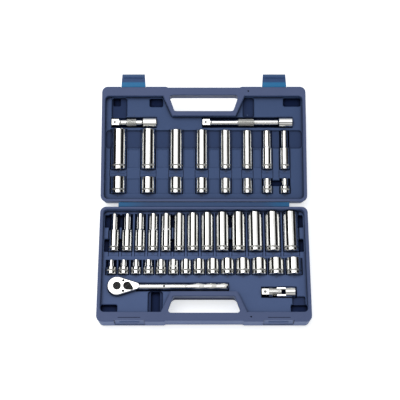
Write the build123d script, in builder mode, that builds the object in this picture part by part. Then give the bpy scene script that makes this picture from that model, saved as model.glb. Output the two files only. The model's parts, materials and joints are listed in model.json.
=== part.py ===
"""Socket wrench set in a hinged case: two double-walled case halves joined by a folding web, two latches,
27 metric and 16 inch sockets, a ratchet, a universal joint and two extensions, all in 3/8 in. drive.

Millimetres. The origin is the centre of the base's underside. +X runs along the hinge, +Y towards the hinge,
+Z up. The base lies flat and the lid stands open, a little above level."""

import os
from math import cos, pi, radians, sin, tan

from build123d import *

os.makedirs("parts", exist_ok=True)

# ---- fits ----
running_gap = 0.05  # radial gap between a shaft and its own bore
moving_gap = 0.4  # gap between hard pieces that pass each other
bed_gap = 0.5  # gap between a tool and the sides of its bed
rest_gap = 0.3  # gap between a tool and the floor of its bed

# ---- sockets ----
drive_square = 9.53  # 3/8 in. drive
drive_square_gap = 0.12
drive_square_depth = 11.5
drive_end_od = 17.0
ring_start = 5.0  # from the drive end to the shallow ring groove
ring_width = 3.0
ring_depth = 0.35
nose_cone = 2.5  # length of the cone between a wide drive end and a slim nose
socket_chamfer = 0.9
hex_gap = 0.2  # across-flats gap over the nominal size
bolt_bore_ratio = 0.72  # bolt clearance bore over the nominal size
metric_od = {6: 9.3, 7: 10.7, 8: 11.9, 9: 13.2, 10: 14.7, 11: 16.2, 12: 17.4, 13: 18.6,
             14: 19.9, 15: 21.3, 16: 22.6, 17: 23.9, 18: 25.1, 19: 26.2}
inch_od = {"3_4": 26.4, "11_16": 24.5, "5_8": 22.5, "9_16": 20.3,
           "1_2": 18.2, "7_16": 16.2, "3_8": 13.9, "5_16": 11.9}
mm_per_inch = 25.4
shallow_length = 25.4  # smallest shallow socket
shallow_growth = 3.2  # how much longer the largest one is
deep_length = 66.0
deep_growth = 3.0
shallow_nose = 0.44  # slim nose over the length, where the nose is slimmer than the drive end
deep_nose = 0.42
nut_depth = 0.8  # depth of a hex over its width, where the nose has room for it
square_depth = 0.75  # depth of a socket's drive hole over its width
largest_od = inch_od["3_4"]

# ---- case ----
half_height = 34.0
panel_drop = 11.0  # tray panel below the rim
skin = 2.2
rim_side = 5.5
rim_hinge = 4.5
rim_front = 16.3
corner_radius = 10.0
tray_corner = 7.0
wall_draft = 4.0  # degrees
foot_round = 3.0
rim_round = 1.2
soft_edge = 1.0  # bevel along the tray, the slot, the beds and the wells
bevel_angle = 45  # degrees
overrun = 0.5  # how far a cutter or a joining piece runs past the face that it meets
closed_gap = 0.3  # between the rims when shut
tool_below_rim = 1.5  # top of a large tool below the rim
small_tool_sink = 1.0  # axis of a small tool below the panel

# ---- finger wells, floors measured below the rim ----
well_corner = 0.2  # corner radius over a well's shorter side
shallow_well = 15.0
deep_well = 20.0
corner_well = 27.0  # along the front
corner_well_depth = 15.2  # front to back
end_well = 9.0
end_well_depth = 22.5
end_well_sink = 20.0
finger_well_x = -78.5
finger_well_width = 24.0
finger_well_inner = 15.0
finger_well_floor = 24.0
joint_channel = 21.0
vent_x = 75.0
vent_from_front = 8.0
vent_radius = 1.3
lid_trough_start = 92.6  # from the hinge edge
lid_trough_width = 30.9
lid_trough_floor = 14.0
lid_well_gap = 0.7  # from the tray's front wall to a lid well
lid_corner_well = (30.0, 15.0)  # along the front, front to back
lid_corner_inset = 2.0
lid_handle_well = (-80.5, 23.0, 15.0)  # x, along the front, front to back
lid_handle_well_gap = 1.7
lid_left_channel = (-143.0, 26.0, 35.0)
lid_left_pit = (-147.5, 13.0, 14.0)
lid_right_channel = (75.5, 19.0, 34.0)
lid_link_start = 28.0  # the well that joins the two smallest shallow beds, from the hinge edge
lid_link_reach = 10.0
end_well_inset = 2.0  # from the tray wall
end_well_back = 4.0  # from the noses of the deep sockets

# ---- moulded steps ----
panel_step = 0.8
step_margin = 2.0  # panel left beside a bed
step_bands = ((15.0, 40.7), (59.0, 91.0))  # across the lid, from the hinge edge
label_field = (250.0, 118.0)  # sunk into the lid's outside
label_field_y = -22.0
label_field_sink = 0.8
label_field_corner = 12.0

# ---- rows ----
row_end = 6.6  # from the shallow metric row to the tray wall
shallow_row_gap = 3.29
deep_row_gap = 4.48
deep_to_hinge_wall = 2.0
label_band = 11.4
shallow_to_ratchet = 5.4
ratchet_to_front = 60.8
lid_row_start = 22.8  # from the tray wall to the first inch socket
lid_pitch = 8.75
lid_pitch_growth = 1.62  # more pitch for each mm of socket
lid_shallow_drive_end = 15.4  # from the hinge edge
lid_deep_drive_end = 56.4
lid_extensions = 137.2

# ---- handle slot, measured from the front edge ----
slot_front = 14.9
slot_inner = 42.4
slot_half_front = 59.0
slot_half_inner = 49.5
slot_corner = 4.5
slot_flare = 6.0  # degrees, wider towards the outside
slot_wall_front = 10.0  # rim left beside the slot
slot_wall_inner = 8.2
grip_half = 64.0
grip_inset = 1.5

# ---- hinge web ----
fold_out = 1.6  # fold line outside the rim edge
fold_drop = 2.8  # fold line below the rim
web_length = 284.0
web_thickness = 2.2
valley_width = 0.8  # of the crease along the web, over the span between the folds
valley_side = 0.42
open_short_of_flat = 13.4  # degrees
lid_foot_gap = 0.05  # the open lid's lower edge above the floor that the base lies on

# ---- latches ----
latch_x = 119.0
latch_root_width = 41.0
latch_tip_width = 38.0
latch_reach = 21.6
latch_thickness = 2.2
latch_drop = 3.0  # fold line below the lid's rim
root_recess = 1.4
root_bay_height = 2.5  # over latch_drop
bay_cutter = 10.0  # front to back
catch_recess = 2.5
catch_width = 49.0
catch_height = 24.0
catch_ridge_drop = 9.0
catch_ridge = 2.0
catch_ridge_width = 32.0
catch_ridge_stand = 1.2
hook_depth = 1.0
hook_width = 2.0
hook_foot = 0.2  # how far a hook's foot is sunk in its latch
lip_height = 1.6

# ---- ratchet ----
ratchet_drive_x = -140.6
head_radius = 15.3
neck_radius = 5.6
neck_reach = 31.0
ratchet_length = 196.0
head_thickness = 13.5
head_below_rim = 3.5
head_round = 1.3
cover_inset = 1.3
cover_thickness = 1.8
shank_radius = 4.6
grip_length = 58.0
grip_radius = 6.6
grip_waist = 5.2
grip_swells = 3
grip_end_chamfer = 1.5
gear_tip_radius = 11.0
gear_teeth = 36
tooth_depth = 0.9
gear_height = 7.5
hub_radius = 7.6
journal_radius = 8.0
bottom_wall = 2.4
drive_reach = 10.5
button_radius = 6.6
button_thickness = 1.7
button_travel = 1.8
button_stem = 2.0
stem_above_tip = 3.0  # from the drive's tip to the foot of the button's stem
knob_round = 0.5  # on the button's and the lever's upper edges
ball_radius = 1.6
ball_stand = 0.6
lever_x_from_drive = 16.6
lever_radius = 6.6
lever_thickness = 1.8
lever_tab = 11.0
lever_tab_width = 5.0
lever_shaft = 2.5
lever_rest_angle = -30.0
pawl_radius = 7.0
pawl_hollow = 11.9
pawl_rock = 7.0  # degrees off centre at rest
screw_head = 1.9
screw_slot = (1.6, 0.5, 0.6)  # length over the head's radius, width, depth
screw_shank = 1.3
screw_from_drive = 10.2
screw_spread = 8.75
spring_wire = 0.4
spring_turns = 2

# ---- universal joint ----
joint_centre_x = 121.0
joint_radius = 8.0
joint_socket_radius = 8.5
joint_y = -46.5
joint_square_reach = 12.0
joint_left = 28.3
joint_right = 26.6
ear_reach = 3.4
ear_width = 8.2
joint_block = 8.4
joint_block_round = 0.6
joint_pin = 2.0
joint_yoke_face = 10.6
joint_end_room = 2.4

# ---- extensions ----
short_extension = 3 * mm_per_inch
long_extension = 6 * mm_per_inch
short_extension_x = -156.2
long_extension_x = -2.7
extension_shaft = 4.9
extension_knurl = 5.9
extension_socket_length = 22.5
extension_square_reach = 11.5
short_knurl = (26.0, 42.0)  # from the square end
long_knurl = (60.7, 87.2)

# ---- worked out ----
deep_metric = [size for size in metric_od if size > 6]
shallow_metric = list(metric_od)
largest_deep = deep_length + deep_growth
largest_shallow = shallow_length + shallow_growth


def body_od(od):
    """A socket is never slimmer than its drive end."""
    return max(od, drive_end_od)


def row_length(ods, gap):
    return sum(body_od(od) for od in ods) + gap * (len(ods) - 1)


def row_places(ods, gap):
    """Centres of a row of sockets with even gaps, the row centred on x = 0."""
    places, edge = [], -row_length(ods, gap) / 2
    for od in ods:
        places.append(edge + body_od(od) / 2)
        edge += body_od(od) + gap
    return places


case_width = row_length(metric_od.values(), shallow_row_gap) + 2 * (row_end + rim_side)
half_width = case_width / 2
tray_half = half_width - rim_side
case_depth = (rim_hinge + deep_to_hinge_wall + largest_deep + label_band + largest_shallow
              + shallow_to_ratchet + head_radius + ratchet_to_front)
half_depth = case_depth / 2
deep_row_y = half_depth - rim_hinge - deep_to_hinge_wall - largest_deep
shallow_row_y = deep_row_y - label_band - largest_shallow
ratchet_y = shallow_row_y - shallow_to_ratchet - head_radius
panel_z = half_height - panel_drop


def axis_height(od):
    """Height of a lying tool's axis: small ones just below the panel, large ones just below the rim."""
    return panel_z - max(small_tool_sink, od / 2 + tool_below_rim - panel_drop)


def socket_length(od, length, growth):
    return length + growth * (body_od(od) - drive_end_od) / (largest_od - drive_end_od)


# The web swings on two parallel folds, so the halves meet rim to rim when they are shut.
fold_span = 2 * fold_drop + closed_gap
base_fold = Vector(0, half_depth + fold_out, half_height - fold_drop)
web_rise = radians(open_short_of_flat / 2)
lid_fold = base_fold + Vector(0, fold_span * cos(web_rise), fold_span * sin(web_rise))
lid_rise = radians(open_short_of_flat)
lid_along = Vector(0, cos(lid_rise), sin(lid_rise))
lid_up = Vector(0, -sin(lid_rise), cos(lid_rise))


def lid_extra_depth():
    """How much deeper the lid is than the base, so that its rounded lower edge stands on the floor when open."""
    slope, lean = tan(radians(wall_draft)), cos(radians(wall_draft))
    rise, run = sin(lid_rise), cos(lid_rise)
    to_edge = fold_out + foot_round / lean - foot_round * slope
    depth = lid_fold.Z + rise * to_edge + run * (foot_round + fold_drop) - foot_round - lid_foot_gap
    return depth / (run - rise * slope) - half_height


base_frame = Plane.XY
lid_frame = Plane(
    origin=lid_fold + lid_along * (half_depth + fold_out) - lid_up * (half_height - fold_drop),
    x_dir=(1, 0, 0),
    z_dir=lid_up,
)
base_side = -1  # the front of the base lies on its -Y side
lid_side = 1  # the front of the lid lies on its own +Y side
outer_face = {base_side: 0.0, lid_side: -lid_extra_depth()}  # height in each half's own frame


def place(frame, x, y, z, z_dir, x_dir):
    """A plane at a point of a case half's own frame, with directions in that frame too."""
    turn = lambda v: frame.x_dir * v[0] + frame.y_dir * v[1] + frame.z_dir * v[2]
    return Plane(origin=frame.from_local_coords((x, y, z)), x_dir=turn(x_dir), z_dir=turn(z_dir))


def along_y(frame, x, y, z):
    """A plane across a tool that points to +Y, its own x along X and its own y straight down."""
    return place(frame, x, y, z, (0, 1, 0), (1, 0, 0))


def along_x(frame, x, y, z):
    """A plane across a tool that points to +X, its own x along Y and its own y straight up."""
    return place(frame, x, y, z, (1, 0, 0), (0, 1, 0))


def lathe_plane(across):
    """The plane that holds a tool's axis: its own y runs along the axis."""
    return Plane(origin=across.origin, x_dir=across.x_dir, z_dir=-across.y_dir)


def keep(piece, label):
    """Labels one finished piece and writes it."""
    piece.label = label
    export_step(piece, f"parts/{label}.step")
    return piece


# ---- case halves ----
def front_y(side, from_front):
    """A half's own y at a distance in from its front edge."""
    return side * (half_depth - from_front)


def slot_outline(side, grow):
    """The handle slot's four-sided outline, grown by a margin."""
    Polygon(
        (-slot_half_front - grow, front_y(side, slot_front - grow)),
        (slot_half_front + grow, front_y(side, slot_front - grow)),
        (slot_half_inner + grow, front_y(side, slot_inner + grow)),
        (-slot_half_inner - grow, front_y(side, slot_inner + grow)),
        align=None,
    )


def tray_outline(side, grow):
    """The sunken tray, grown by a margin: inside the rim, and round the back of the handle slot."""
    front, inner = front_y(side, rim_front - grow), front_y(side, slot_inner + slot_wall_inner - grow)
    hinge = -side * (half_depth - rim_hinge + grow)
    slot_side = slot_half_front + slot_wall_front - grow
    slot_end = slot_half_inner + slot_wall_inner / 2 - grow
    end = tray_half + grow
    Polygon(
        (-end, front),
        (-slot_side, front),
        (-slot_end, inner),
        (slot_end, inner),
        (slot_side, front),
        (end, front),
        (end, hinge),
        (-end, hinge),
        align=None,
    )


def ends_of(corners):
    """The corners furthest left and right."""
    return corners.group_by(Axis.X)[0] + corners.group_by(Axis.X)[-1]


def case_body(frame, side):
    """The solid outer block of a half, with its grip inset and handle slot, drafted towards the outside."""
    rim = frame.offset(half_height)
    depth = half_height - outer_face[side]
    with BuildPart() as body:
        with BuildSketch(rim) as outline:
            RectangleRounded(case_width, case_depth, corner_radius)
            Polygon(
                (-grip_half, front_y(side, 0)),
                (-grip_half + 2 * grip_inset, front_y(side, grip_inset)),
                (grip_half - 2 * grip_inset, front_y(side, grip_inset)),
                (grip_half, front_y(side, 0)),
                align=None,
                mode=Mode.SUBTRACT,
            )
        extrude(amount=-depth, taper=wall_draft)
        outer_to_rim = body.faces().sort_by(Axis(frame.origin, frame.z_dir))
        fillet(outer_to_rim[0].outer_wire().edges(), foot_round)
        fillet(outer_to_rim[-1].outer_wire().edges(), rim_round)
        with BuildSketch(rim):
            slot_outline(side, 0)
            fillet(vertices(), slot_corner)
        extrude(amount=-depth, taper=-slot_flare, mode=Mode.SUBTRACT)
        with BuildSketch(rim):
            slot_outline(side, soft_edge)
            fillet(vertices(), slot_corner + soft_edge)
        extrude(amount=-2 * soft_edge, taper=bevel_angle, mode=Mode.SUBTRACT)
    return body.part


# A bed is (plane across the tool, length, radius, which way is up in that plane): a channel with a round floor.
# A well is (x, y, width, reach, floor height) in the half's own frame.
def hollow(frame, side, beds, wells):
    """The air space between the tray and the outer wall, clear of every bed and well by the skin."""
    depth = half_height - outer_face[side]
    inset = 2 * skin + depth * tan(radians(wall_draft))
    floor = frame.offset(outer_face[side] + skin)
    with BuildPart() as air:
        with BuildSketch(floor):
            RectangleRounded(case_width - 2 * inset, case_depth - 2 * inset, corner_radius)
        extrude(amount=depth - panel_drop - 2 * skin)
        with BuildSketch(floor):
            slot_outline(side, skin + depth * tan(radians(slot_flare)))
        extrude(amount=depth, mode=Mode.SUBTRACT)
        for x, y, width, reach, well_floor in wells:
            with BuildSketch(frame.offset(well_floor - skin)):
                with Locations((x, y)):
                    Rectangle(width + 2 * skin, reach + 2 * skin)
            extrude(amount=half_height, mode=Mode.SUBTRACT)
        for across, length, radius, upwards in beds:
            size = radius + skin
            with BuildSketch(across.offset(-skin)):
                with Locations((0, upwards * (half_height - size) / 2)):
                    Rectangle(2 * size, half_height + size)
            extrude(amount=length + 2 * skin, mode=Mode.SUBTRACT)
    return air.part


def tray_space(frame, side, beds, wells):
    """Everything cut down from the rim: the tray, the tool beds and the finger wells."""
    with BuildPart() as space:
        with BuildSketch(frame.offset(half_height)):
            tray_outline(side, 0)
            fillet(ends_of(vertices()), tray_corner)
        extrude(amount=-panel_drop)
        with BuildSketch(frame.offset(half_height)):
            tray_outline(side, soft_edge)
            fillet(ends_of(vertices()), tray_corner + soft_edge)
        extrude(amount=-soft_edge, taper=bevel_angle)
        for across, length, radius, upwards in beds:
            lip = upwards * (panel_z - frame.to_local_coords(across.origin).Z)
            with BuildSketch(across):
                Circle(radius)
                with Locations((0, upwards * panel_drop / 2)):
                    Rectangle(2 * radius, panel_drop)
                Polygon(
                    (-radius - soft_edge, lip),
                    (radius + soft_edge, lip),
                    (radius, lip - upwards * soft_edge),
                    (-radius, lip - upwards * soft_edge),
                    align=None,
                )
            extrude(amount=length)
        for x, y, width, reach, floor in wells:
            corner = min(width, reach) * well_corner
            with BuildSketch(frame.offset(floor)):
                with Locations((x, y)):
                    RectangleRounded(width, reach, corner)
            extrude(amount=panel_z - floor + overrun)
            with BuildSketch(frame.offset(panel_z)):
                with Locations((x, y)):
                    RectangleRounded(width + 2 * soft_edge, reach + 2 * soft_edge, corner + soft_edge)
            extrude(amount=-soft_edge, taper=bevel_angle)
    return space.part


def socket_bed(frame, x, y, od, length):
    size = body_od(od)
    across = along_y(frame, x, y - bed_gap, axis_height(size))
    return across, length + 2 * bed_gap, size / 2 + rest_gap, -1


# ---- sockets ----
def socket(across, od, nut, length, nose_share):
    """One six-point socket on its axis, drive end first. across is the plane of its drive end."""
    wide, slim, edge = body_od(od) / 2, od / 2, socket_chamfer
    ring = wide - ring_depth
    ring_end = ring_start + ring_width
    shoulder = length * (1 - nose_share)
    hex_depth = min(length * nose_share, nut * nut_depth)
    lathe = lathe_plane(across)
    with BuildPart() as body:
        with BuildSketch(lathe):
            with BuildLine():
                Polyline(
                    (0, 0),
                    (wide - edge, 0),
                    (wide, edge),
                    (wide, ring_start),
                    (ring, ring_start + ring_depth),
                    (ring, ring_end - ring_depth),
                    (wide, ring_end),
                    (wide, shoulder - nose_cone),
                    (slim, shoulder),
                    (slim, length - edge),
                    (slim - edge, length),
                    (0, length),
                    close=True,
                )
            make_face()
        revolve(axis=Axis(across.origin, across.z_dir))
        with BuildSketch(across):
            Rectangle(drive_square + drive_square_gap, drive_square + drive_square_gap)
        extrude(amount=drive_square_depth, mode=Mode.SUBTRACT)
        with BuildSketch(across.offset(drive_square_depth)):
            Circle(nut * bolt_bore_ratio / 2)
        extrude(amount=length - drive_square_depth, mode=Mode.SUBTRACT)
        with BuildSketch(across.offset(length)):
            RegularPolygon((nut + hex_gap) / 2, 6, major_radius=False)
        extrude(amount=-hex_depth, mode=Mode.SUBTRACT)
    return body.part


def inch_size(name):
    top, bottom = name.split("_")
    return mm_per_inch * int(top) / int(bottom)


def lid_row_places():
    places, previous = [], None
    for od in inch_od.values():
        if previous is None:
            places.append(-tray_half + lid_row_start)
        else:
            places.append(places[-1] + lid_pitch + lid_pitch_growth * (previous + od) / 2)
        previous = od
    return places


base_beds, lid_beds = [], []
lid_hinge_edge = -half_depth

for size, x in zip(deep_metric, row_places([metric_od[s] for s in deep_metric], deep_row_gap)):
    od = metric_od[size]
    length = socket_length(od, deep_length, deep_growth)
    axis_z = axis_height(body_od(od))
    base_beds.append(socket_bed(base_frame, x, deep_row_y, od, length))
    keep(socket(along_y(base_frame, x, deep_row_y, axis_z), od, size, length, deep_nose), f"deep_socket_{size}mm")

for size, x in zip(shallow_metric, row_places(metric_od.values(), shallow_row_gap)):
    od = metric_od[size]
    length = socket_length(od, shallow_length, shallow_growth)
    axis_z = axis_height(body_od(od))
    base_beds.append(socket_bed(base_frame, x, shallow_row_y, od, length))
    keep(socket(along_y(base_frame, x, shallow_row_y, axis_z), od, size, length, shallow_nose), f"socket_{size}mm")

shallow_inch = []
for (name, od), x in zip(inch_od.items(), lid_row_places()):
    nut, axis_z = inch_size(name), axis_height(body_od(od))
    deep_y = lid_hinge_edge + lid_deep_drive_end
    length = socket_length(od, deep_length, deep_growth)
    lid_beds.append(socket_bed(lid_frame, x, deep_y, od, length))
    keep(socket(along_y(lid_frame, x, deep_y, axis_z), od, nut, length, deep_nose), f"deep_socket_{name}in")
    shallow_y = lid_hinge_edge + lid_shallow_drive_end
    length = socket_length(od, shallow_length, shallow_growth)
    lid_beds.append(socket_bed(lid_frame, x, shallow_y, od, length))
    shallow_inch.append(socket(along_y(lid_frame, x, shallow_y, axis_z), od, nut, length, shallow_nose))
keep(Compound(children=shallow_inch), "sockets_shallow_inch")


# ---- extension bars ----
def ball_place(across, reach):
    """Centre of a retaining ball that stands a little out of the upper side of a drive square."""
    return across.from_local_coords((0, drive_square / 2 + ball_stand - ball_radius, reach))


def ball_seat(across, reach):
    """The floor of a ball's blind hole, facing out of the upper side of a drive square."""
    floor = ball_place(across, reach) - across.y_dir * (ball_radius + running_gap)
    return Plane(origin=floor, x_dir=across.z_dir, z_dir=across.y_dir)


def retaining_ball(centre):
    with BuildPart() as ball:
        with BuildSketch(Plane(origin=centre, x_dir=(1, 0, 0), z_dir=(0, -1, 0))):
            Circle(ball_radius)
            with Locations((-ball_radius, 0)):
                Rectangle(2 * ball_radius, 2 * ball_radius, mode=Mode.SUBTRACT)
        revolve(axis=Axis(centre, (0, 0, 1)))
    return ball.part


def tip_edges(part, across):
    """The edges round the tip of a drive square."""
    return part.faces().sort_by(Axis(across.origin, across.z_dir))[0].outer_wire().edges()


def extension(across, length, knurl):
    """An extension bar: drive square first, then a shaft with a knurled band, and a socket end."""
    shaft, band, socket_end = extension_shaft, extension_knurl, drive_end_od / 2
    collar, edge = extension_square_reach, socket_chamfer
    socket_start = length - extension_socket_length
    lathe = lathe_plane(across)
    with BuildPart() as bar:
        with BuildSketch(across):
            Rectangle(drive_square, drive_square)
        extrude(amount=collar + edge)
        chamfer(tip_edges(bar.part, across), edge)
        with BuildSketch(lathe):
            with BuildLine():
                Polyline(
                    (0, collar),
                    (band - edge, collar),
                    (band, collar + edge),
                    (band, collar + 3 * edge),
                    (shaft, collar + 5 * edge),
                    (shaft, knurl[0] - edge),
                    (band, knurl[0]),
                    (band, knurl[1]),
                    (shaft, knurl[1] + edge),
                    (shaft, socket_start - nose_cone),
                    (socket_end, socket_start),
                    (socket_end, length - edge),
                    (socket_end - edge, length),
                    (0, length),
                    close=True,
                )
            make_face()
        revolve(axis=Axis(across.origin, across.z_dir))
        with BuildSketch(across.offset(length)):
            Rectangle(drive_square + drive_square_gap, drive_square + drive_square_gap)
        extrude(amount=-drive_square_depth, mode=Mode.SUBTRACT)
        with BuildSketch(ball_seat(across, collar / 2)):
            Circle(ball_radius + running_gap)
        extrude(amount=drive_square, mode=Mode.SUBTRACT)
    return bar.part


extension_y = lid_hinge_edge + lid_extensions
extension_z = axis_height(drive_end_od)
for name, x, length, knurl in (
    ("short", short_extension_x, short_extension, short_knurl),
    ("long", long_extension_x, long_extension, long_knurl),
):
    across = along_x(lid_frame, x, extension_y, extension_z)
    keep(extension(across, length, knurl), f"{name}_extension")
    keep(retaining_ball(ball_place(across, extension_square_reach / 2)), f"{name}_extension_ball")
    lid_beds.append((across.offset(-bed_gap), length + 2 * bed_gap, drive_end_od / 2 + rest_gap, 1))


# ---- ratchet ----
head_top = half_height - head_below_rim
head_bottom = head_top - head_thickness
grip_axis_z = (head_top + head_bottom) / 2
gear_floor = head_bottom + bottom_wall
gear_top = gear_floor + gear_height
cover_floor = head_top - cover_thickness
lever_x = ratchet_drive_x + lever_x_from_drive
ratchet_left = ratchet_drive_x - head_radius
grip_end = ratchet_left + ratchet_length
drive_tip = head_bottom - drive_reach
button_floor = cover_floor - button_travel
button_well = button_radius + running_gap
stem_foot = drive_tip + stem_above_tip


def head_outline(inset):
    """The head's teardrop: a large circle round the drive and a small one at the neck."""
    return (head_radius - inset, neck_radius - inset / 2)


def at_drive(height):
    return Plane(origin=(ratchet_drive_x, ratchet_y, height))


def at_lever(height, turn=0):
    x_dir = (cos(radians(turn)), sin(radians(turn)), 0)
    return Plane(origin=(lever_x, ratchet_y, height), x_dir=x_dir, z_dir=(0, 0, 1))


def handle_profile():
    """Half outline of the shank and the swelling grip, as (distance from the drive axis, radius)."""
    grip_start = grip_end - grip_length
    swell = grip_length / grip_swells
    points = [(grip_start - 2 * swell / 3, shank_radius)]
    for n in range(grip_swells):
        points.append((grip_start + n * swell, grip_waist))
        points.append((grip_start + (n + 0.5) * swell, grip_radius))
    points.append((grip_end - grip_end_chamfer, grip_waist))
    return points


def ratchet_body_part():
    big, small = head_outline(0)
    neck_x = ratchet_drive_x + neck_reach
    lathe = Plane(origin=(0, ratchet_y, grip_axis_z), x_dir=(1, 0, 0), z_dir=(0, -1, 0))
    with BuildPart() as body:
        with BuildSketch(at_drive(head_bottom)) as head:
            Circle(big)
            with Locations((neck_reach, 0)):
                Circle(small)
            make_hull()
        extrude(amount=head_thickness)
        fillet(body.faces().filter_by(Axis.Z).edges(), head_round)
        with BuildSketch(lathe):
            with BuildLine():
                profile = handle_profile()
                Line((neck_x, 0), (neck_x, shank_radius))
                Line((neck_x, shank_radius), profile[0])
                Spline(*profile)
                Line(profile[-1], (grip_end, 0))
                Line((grip_end, 0), (neck_x, 0))
            make_face()
        revolve(axis=Axis((0, ratchet_y, grip_axis_z), (1, 0, 0)))
        big, small = head_outline(cover_inset)
        with BuildSketch(at_drive(cover_floor)):
            Circle(big + running_gap)
            with Locations((neck_reach - cover_inset, 0)):
                Circle(small + running_gap)
            make_hull()
        extrude(amount=cover_thickness + 1, mode=Mode.SUBTRACT)
        with BuildSketch(at_drive(gear_floor)):
            Circle(gear_tip_radius + moving_gap)
        extrude(amount=head_thickness, mode=Mode.SUBTRACT)
        with BuildSketch(at_drive(head_bottom - 1)):
            Circle(journal_radius + running_gap)
        extrude(amount=bottom_wall + 2, mode=Mode.SUBTRACT)
        with BuildSketch(at_lever(gear_floor)):
            Circle(pawl_radius + moving_gap)
        extrude(amount=head_thickness, mode=Mode.SUBTRACT)
        with BuildSketch(at_drive(gear_floor)):
            with Locations(*[(screw_from_drive, n * screw_spread) for n in (-1, 1)]):
                Circle(screw_shank + running_gap)
        extrude(amount=head_thickness, mode=Mode.SUBTRACT)
    return body.part


def ratchet_cover_part():
    big, small = head_outline(cover_inset)
    with BuildPart() as cover:
        with BuildSketch(at_drive(cover_floor)):
            Circle(big)
            with Locations((neck_reach - cover_inset, 0)):
                Circle(small)
            make_hull()
            Circle(hub_radius + running_gap, mode=Mode.SUBTRACT)
            with Locations((lever_x_from_drive, 0)):
                Circle(lever_shaft + running_gap, mode=Mode.SUBTRACT)
            with Locations(*[(screw_from_drive, n * screw_spread) for n in (-1, 1)]):
                Circle(screw_head + running_gap, mode=Mode.SUBTRACT)
        extrude(amount=cover_thickness)
    return cover.part


def cover_screws_part():
    with BuildPart() as screws:
        with BuildSketch(at_drive(cover_floor + running_gap)):
            with Locations(*[(screw_from_drive, n * screw_spread) for n in (-1, 1)]):
                Circle(screw_head)
        extrude(amount=cover_thickness - running_gap)
        with BuildSketch(at_drive(gear_floor + running_gap)):
            with Locations(*[(screw_from_drive, n * screw_spread) for n in (-1, 1)]):
                Circle(screw_shank)
        extrude(amount=cover_floor - gear_floor)
        with BuildSketch(at_drive(head_top)):
            with Locations(*[(screw_from_drive, n * screw_spread) for n in (-1, 1)]):
                Rectangle(screw_slot[0] * screw_head, screw_slot[1])
        extrude(amount=-screw_slot[2], mode=Mode.SUBTRACT)
    return screws.part


def drive_gear_part():
    """Gear, journal and drive square in one forging, bored for the release button's stem."""
    root = gear_tip_radius - tooth_depth
    half_tooth = pi / gear_teeth
    teeth = []
    for n in range(gear_teeth):
        middle = 2 * n * half_tooth
        teeth.append((gear_tip_radius * cos(middle), gear_tip_radius * sin(middle)))
        teeth.append((root * cos(middle + half_tooth), root * sin(middle + half_tooth)))
    with BuildPart() as gear:
        with BuildSketch(at_drive(gear_floor + running_gap)):
            Polygon(*teeth, align=None)
        extrude(amount=gear_height - 2 * running_gap)
        with BuildSketch(at_drive(head_bottom)):
            Circle(journal_radius)
        extrude(amount=bottom_wall + 1)
        with BuildSketch(at_drive(drive_tip)):
            Rectangle(drive_square, drive_square)
        extrude(amount=drive_reach + 1)
        chamfer(gear.faces().sort_by(Axis.Z)[0].outer_wire().edges(), socket_chamfer)
        with BuildSketch(at_drive(gear_top - 1)):
            Circle(hub_radius)
        extrude(amount=head_top - gear_top + 1)
        with BuildSketch(at_drive(button_floor)):
            Circle(button_well)
        extrude(amount=head_thickness, mode=Mode.SUBTRACT)
        with BuildSketch(at_drive(stem_foot - button_travel - moving_gap)):
            Circle(button_stem + running_gap)
        extrude(amount=head_thickness + drive_reach, mode=Mode.SUBTRACT)
        with BuildSketch(Plane(origin=(ratchet_drive_x, ratchet_y, ball_height), x_dir=(1, 0, 0), z_dir=(0, 1, 0))):
            Circle(ball_radius + running_gap)
        extrude(amount=-drive_square, mode=Mode.SUBTRACT)
    return gear.part


def release_button_part():
    with BuildPart() as button:
        with BuildSketch(at_drive(head_top)):
            Circle(button_radius)
        extrude(amount=button_thickness)
        fillet(button.faces().sort_by(Axis.Z)[-1].edges(), knob_round)
        with BuildSketch(at_drive(stem_foot)):
            Circle(button_stem)
        extrude(amount=head_top - stem_foot + overrun)
    return button.part


def button_spring_part():
    """The coil under the release button, round its stem."""
    coil_radius = (button_radius + button_stem) / 2
    height = head_top - button_floor - 2 * spring_wire
    with BuildPart() as spring:
        with BuildLine(at_drive(button_floor + spring_wire)) as coil:
            Helix(height / spring_turns, height, coil_radius)
        with BuildSketch(Plane(origin=coil.line @ 0, z_dir=coil.line % 0)):
            Circle(spring_wire / 2)
        sweep(path=coil.line)
    return spring.part


def reversing_lever_part():
    with BuildPart() as lever:
        with BuildSketch(at_lever(head_top + running_gap, lever_rest_angle)):
            Circle(lever_radius)
            with Locations((lever_tab - lever_tab_width / 2, 0)):
                Circle(lever_tab_width / 2)
            make_hull()
        extrude(amount=lever_thickness)
        fillet(lever.faces().sort_by(Axis.Z)[-1].edges(), knob_round)
        with BuildSketch(at_lever(gear_floor + running_gap)):
            Circle(lever_shaft)
        extrude(amount=head_top - gear_floor)
    return lever.part


def pawl_part():
    """The rocking pawl on the lever's shaft, hollowed to straddle the gear, one horn close to the teeth."""
    with BuildPart() as pawl:
        with BuildSketch(at_lever(gear_floor + running_gap, -pawl_rock)):
            Circle(pawl_radius)
            Circle(lever_shaft + running_gap, mode=Mode.SUBTRACT)
            with Locations((-lever_x_from_drive, 0)):
                Circle(pawl_hollow, mode=Mode.SUBTRACT)
        extrude(amount=gear_height - 2 * running_gap)
    return pawl.part


ball_height = drive_tip + drive_reach / 2
ratchet_ball = Vector(ratchet_drive_x, ratchet_y - drive_square / 2 - ball_stand + ball_radius, ball_height)
keep(ratchet_body_part(), "ratchet_body")
keep(ratchet_cover_part(), "ratchet_cover")
keep(cover_screws_part(), "cover_screws")
keep(drive_gear_part(), "drive_gear")
keep(release_button_part(), "release_button")
keep(button_spring_part(), "button_spring")
keep(reversing_lever_part(), "reversing_lever")
keep(pawl_part(), "pawl")
keep(retaining_ball(ratchet_ball), "ratchet_ball")


# ---- universal joint ----
joint_z = axis_height(2 * joint_radius)
joint_across = along_x(base_frame, joint_centre_x, joint_y, joint_z)


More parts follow.
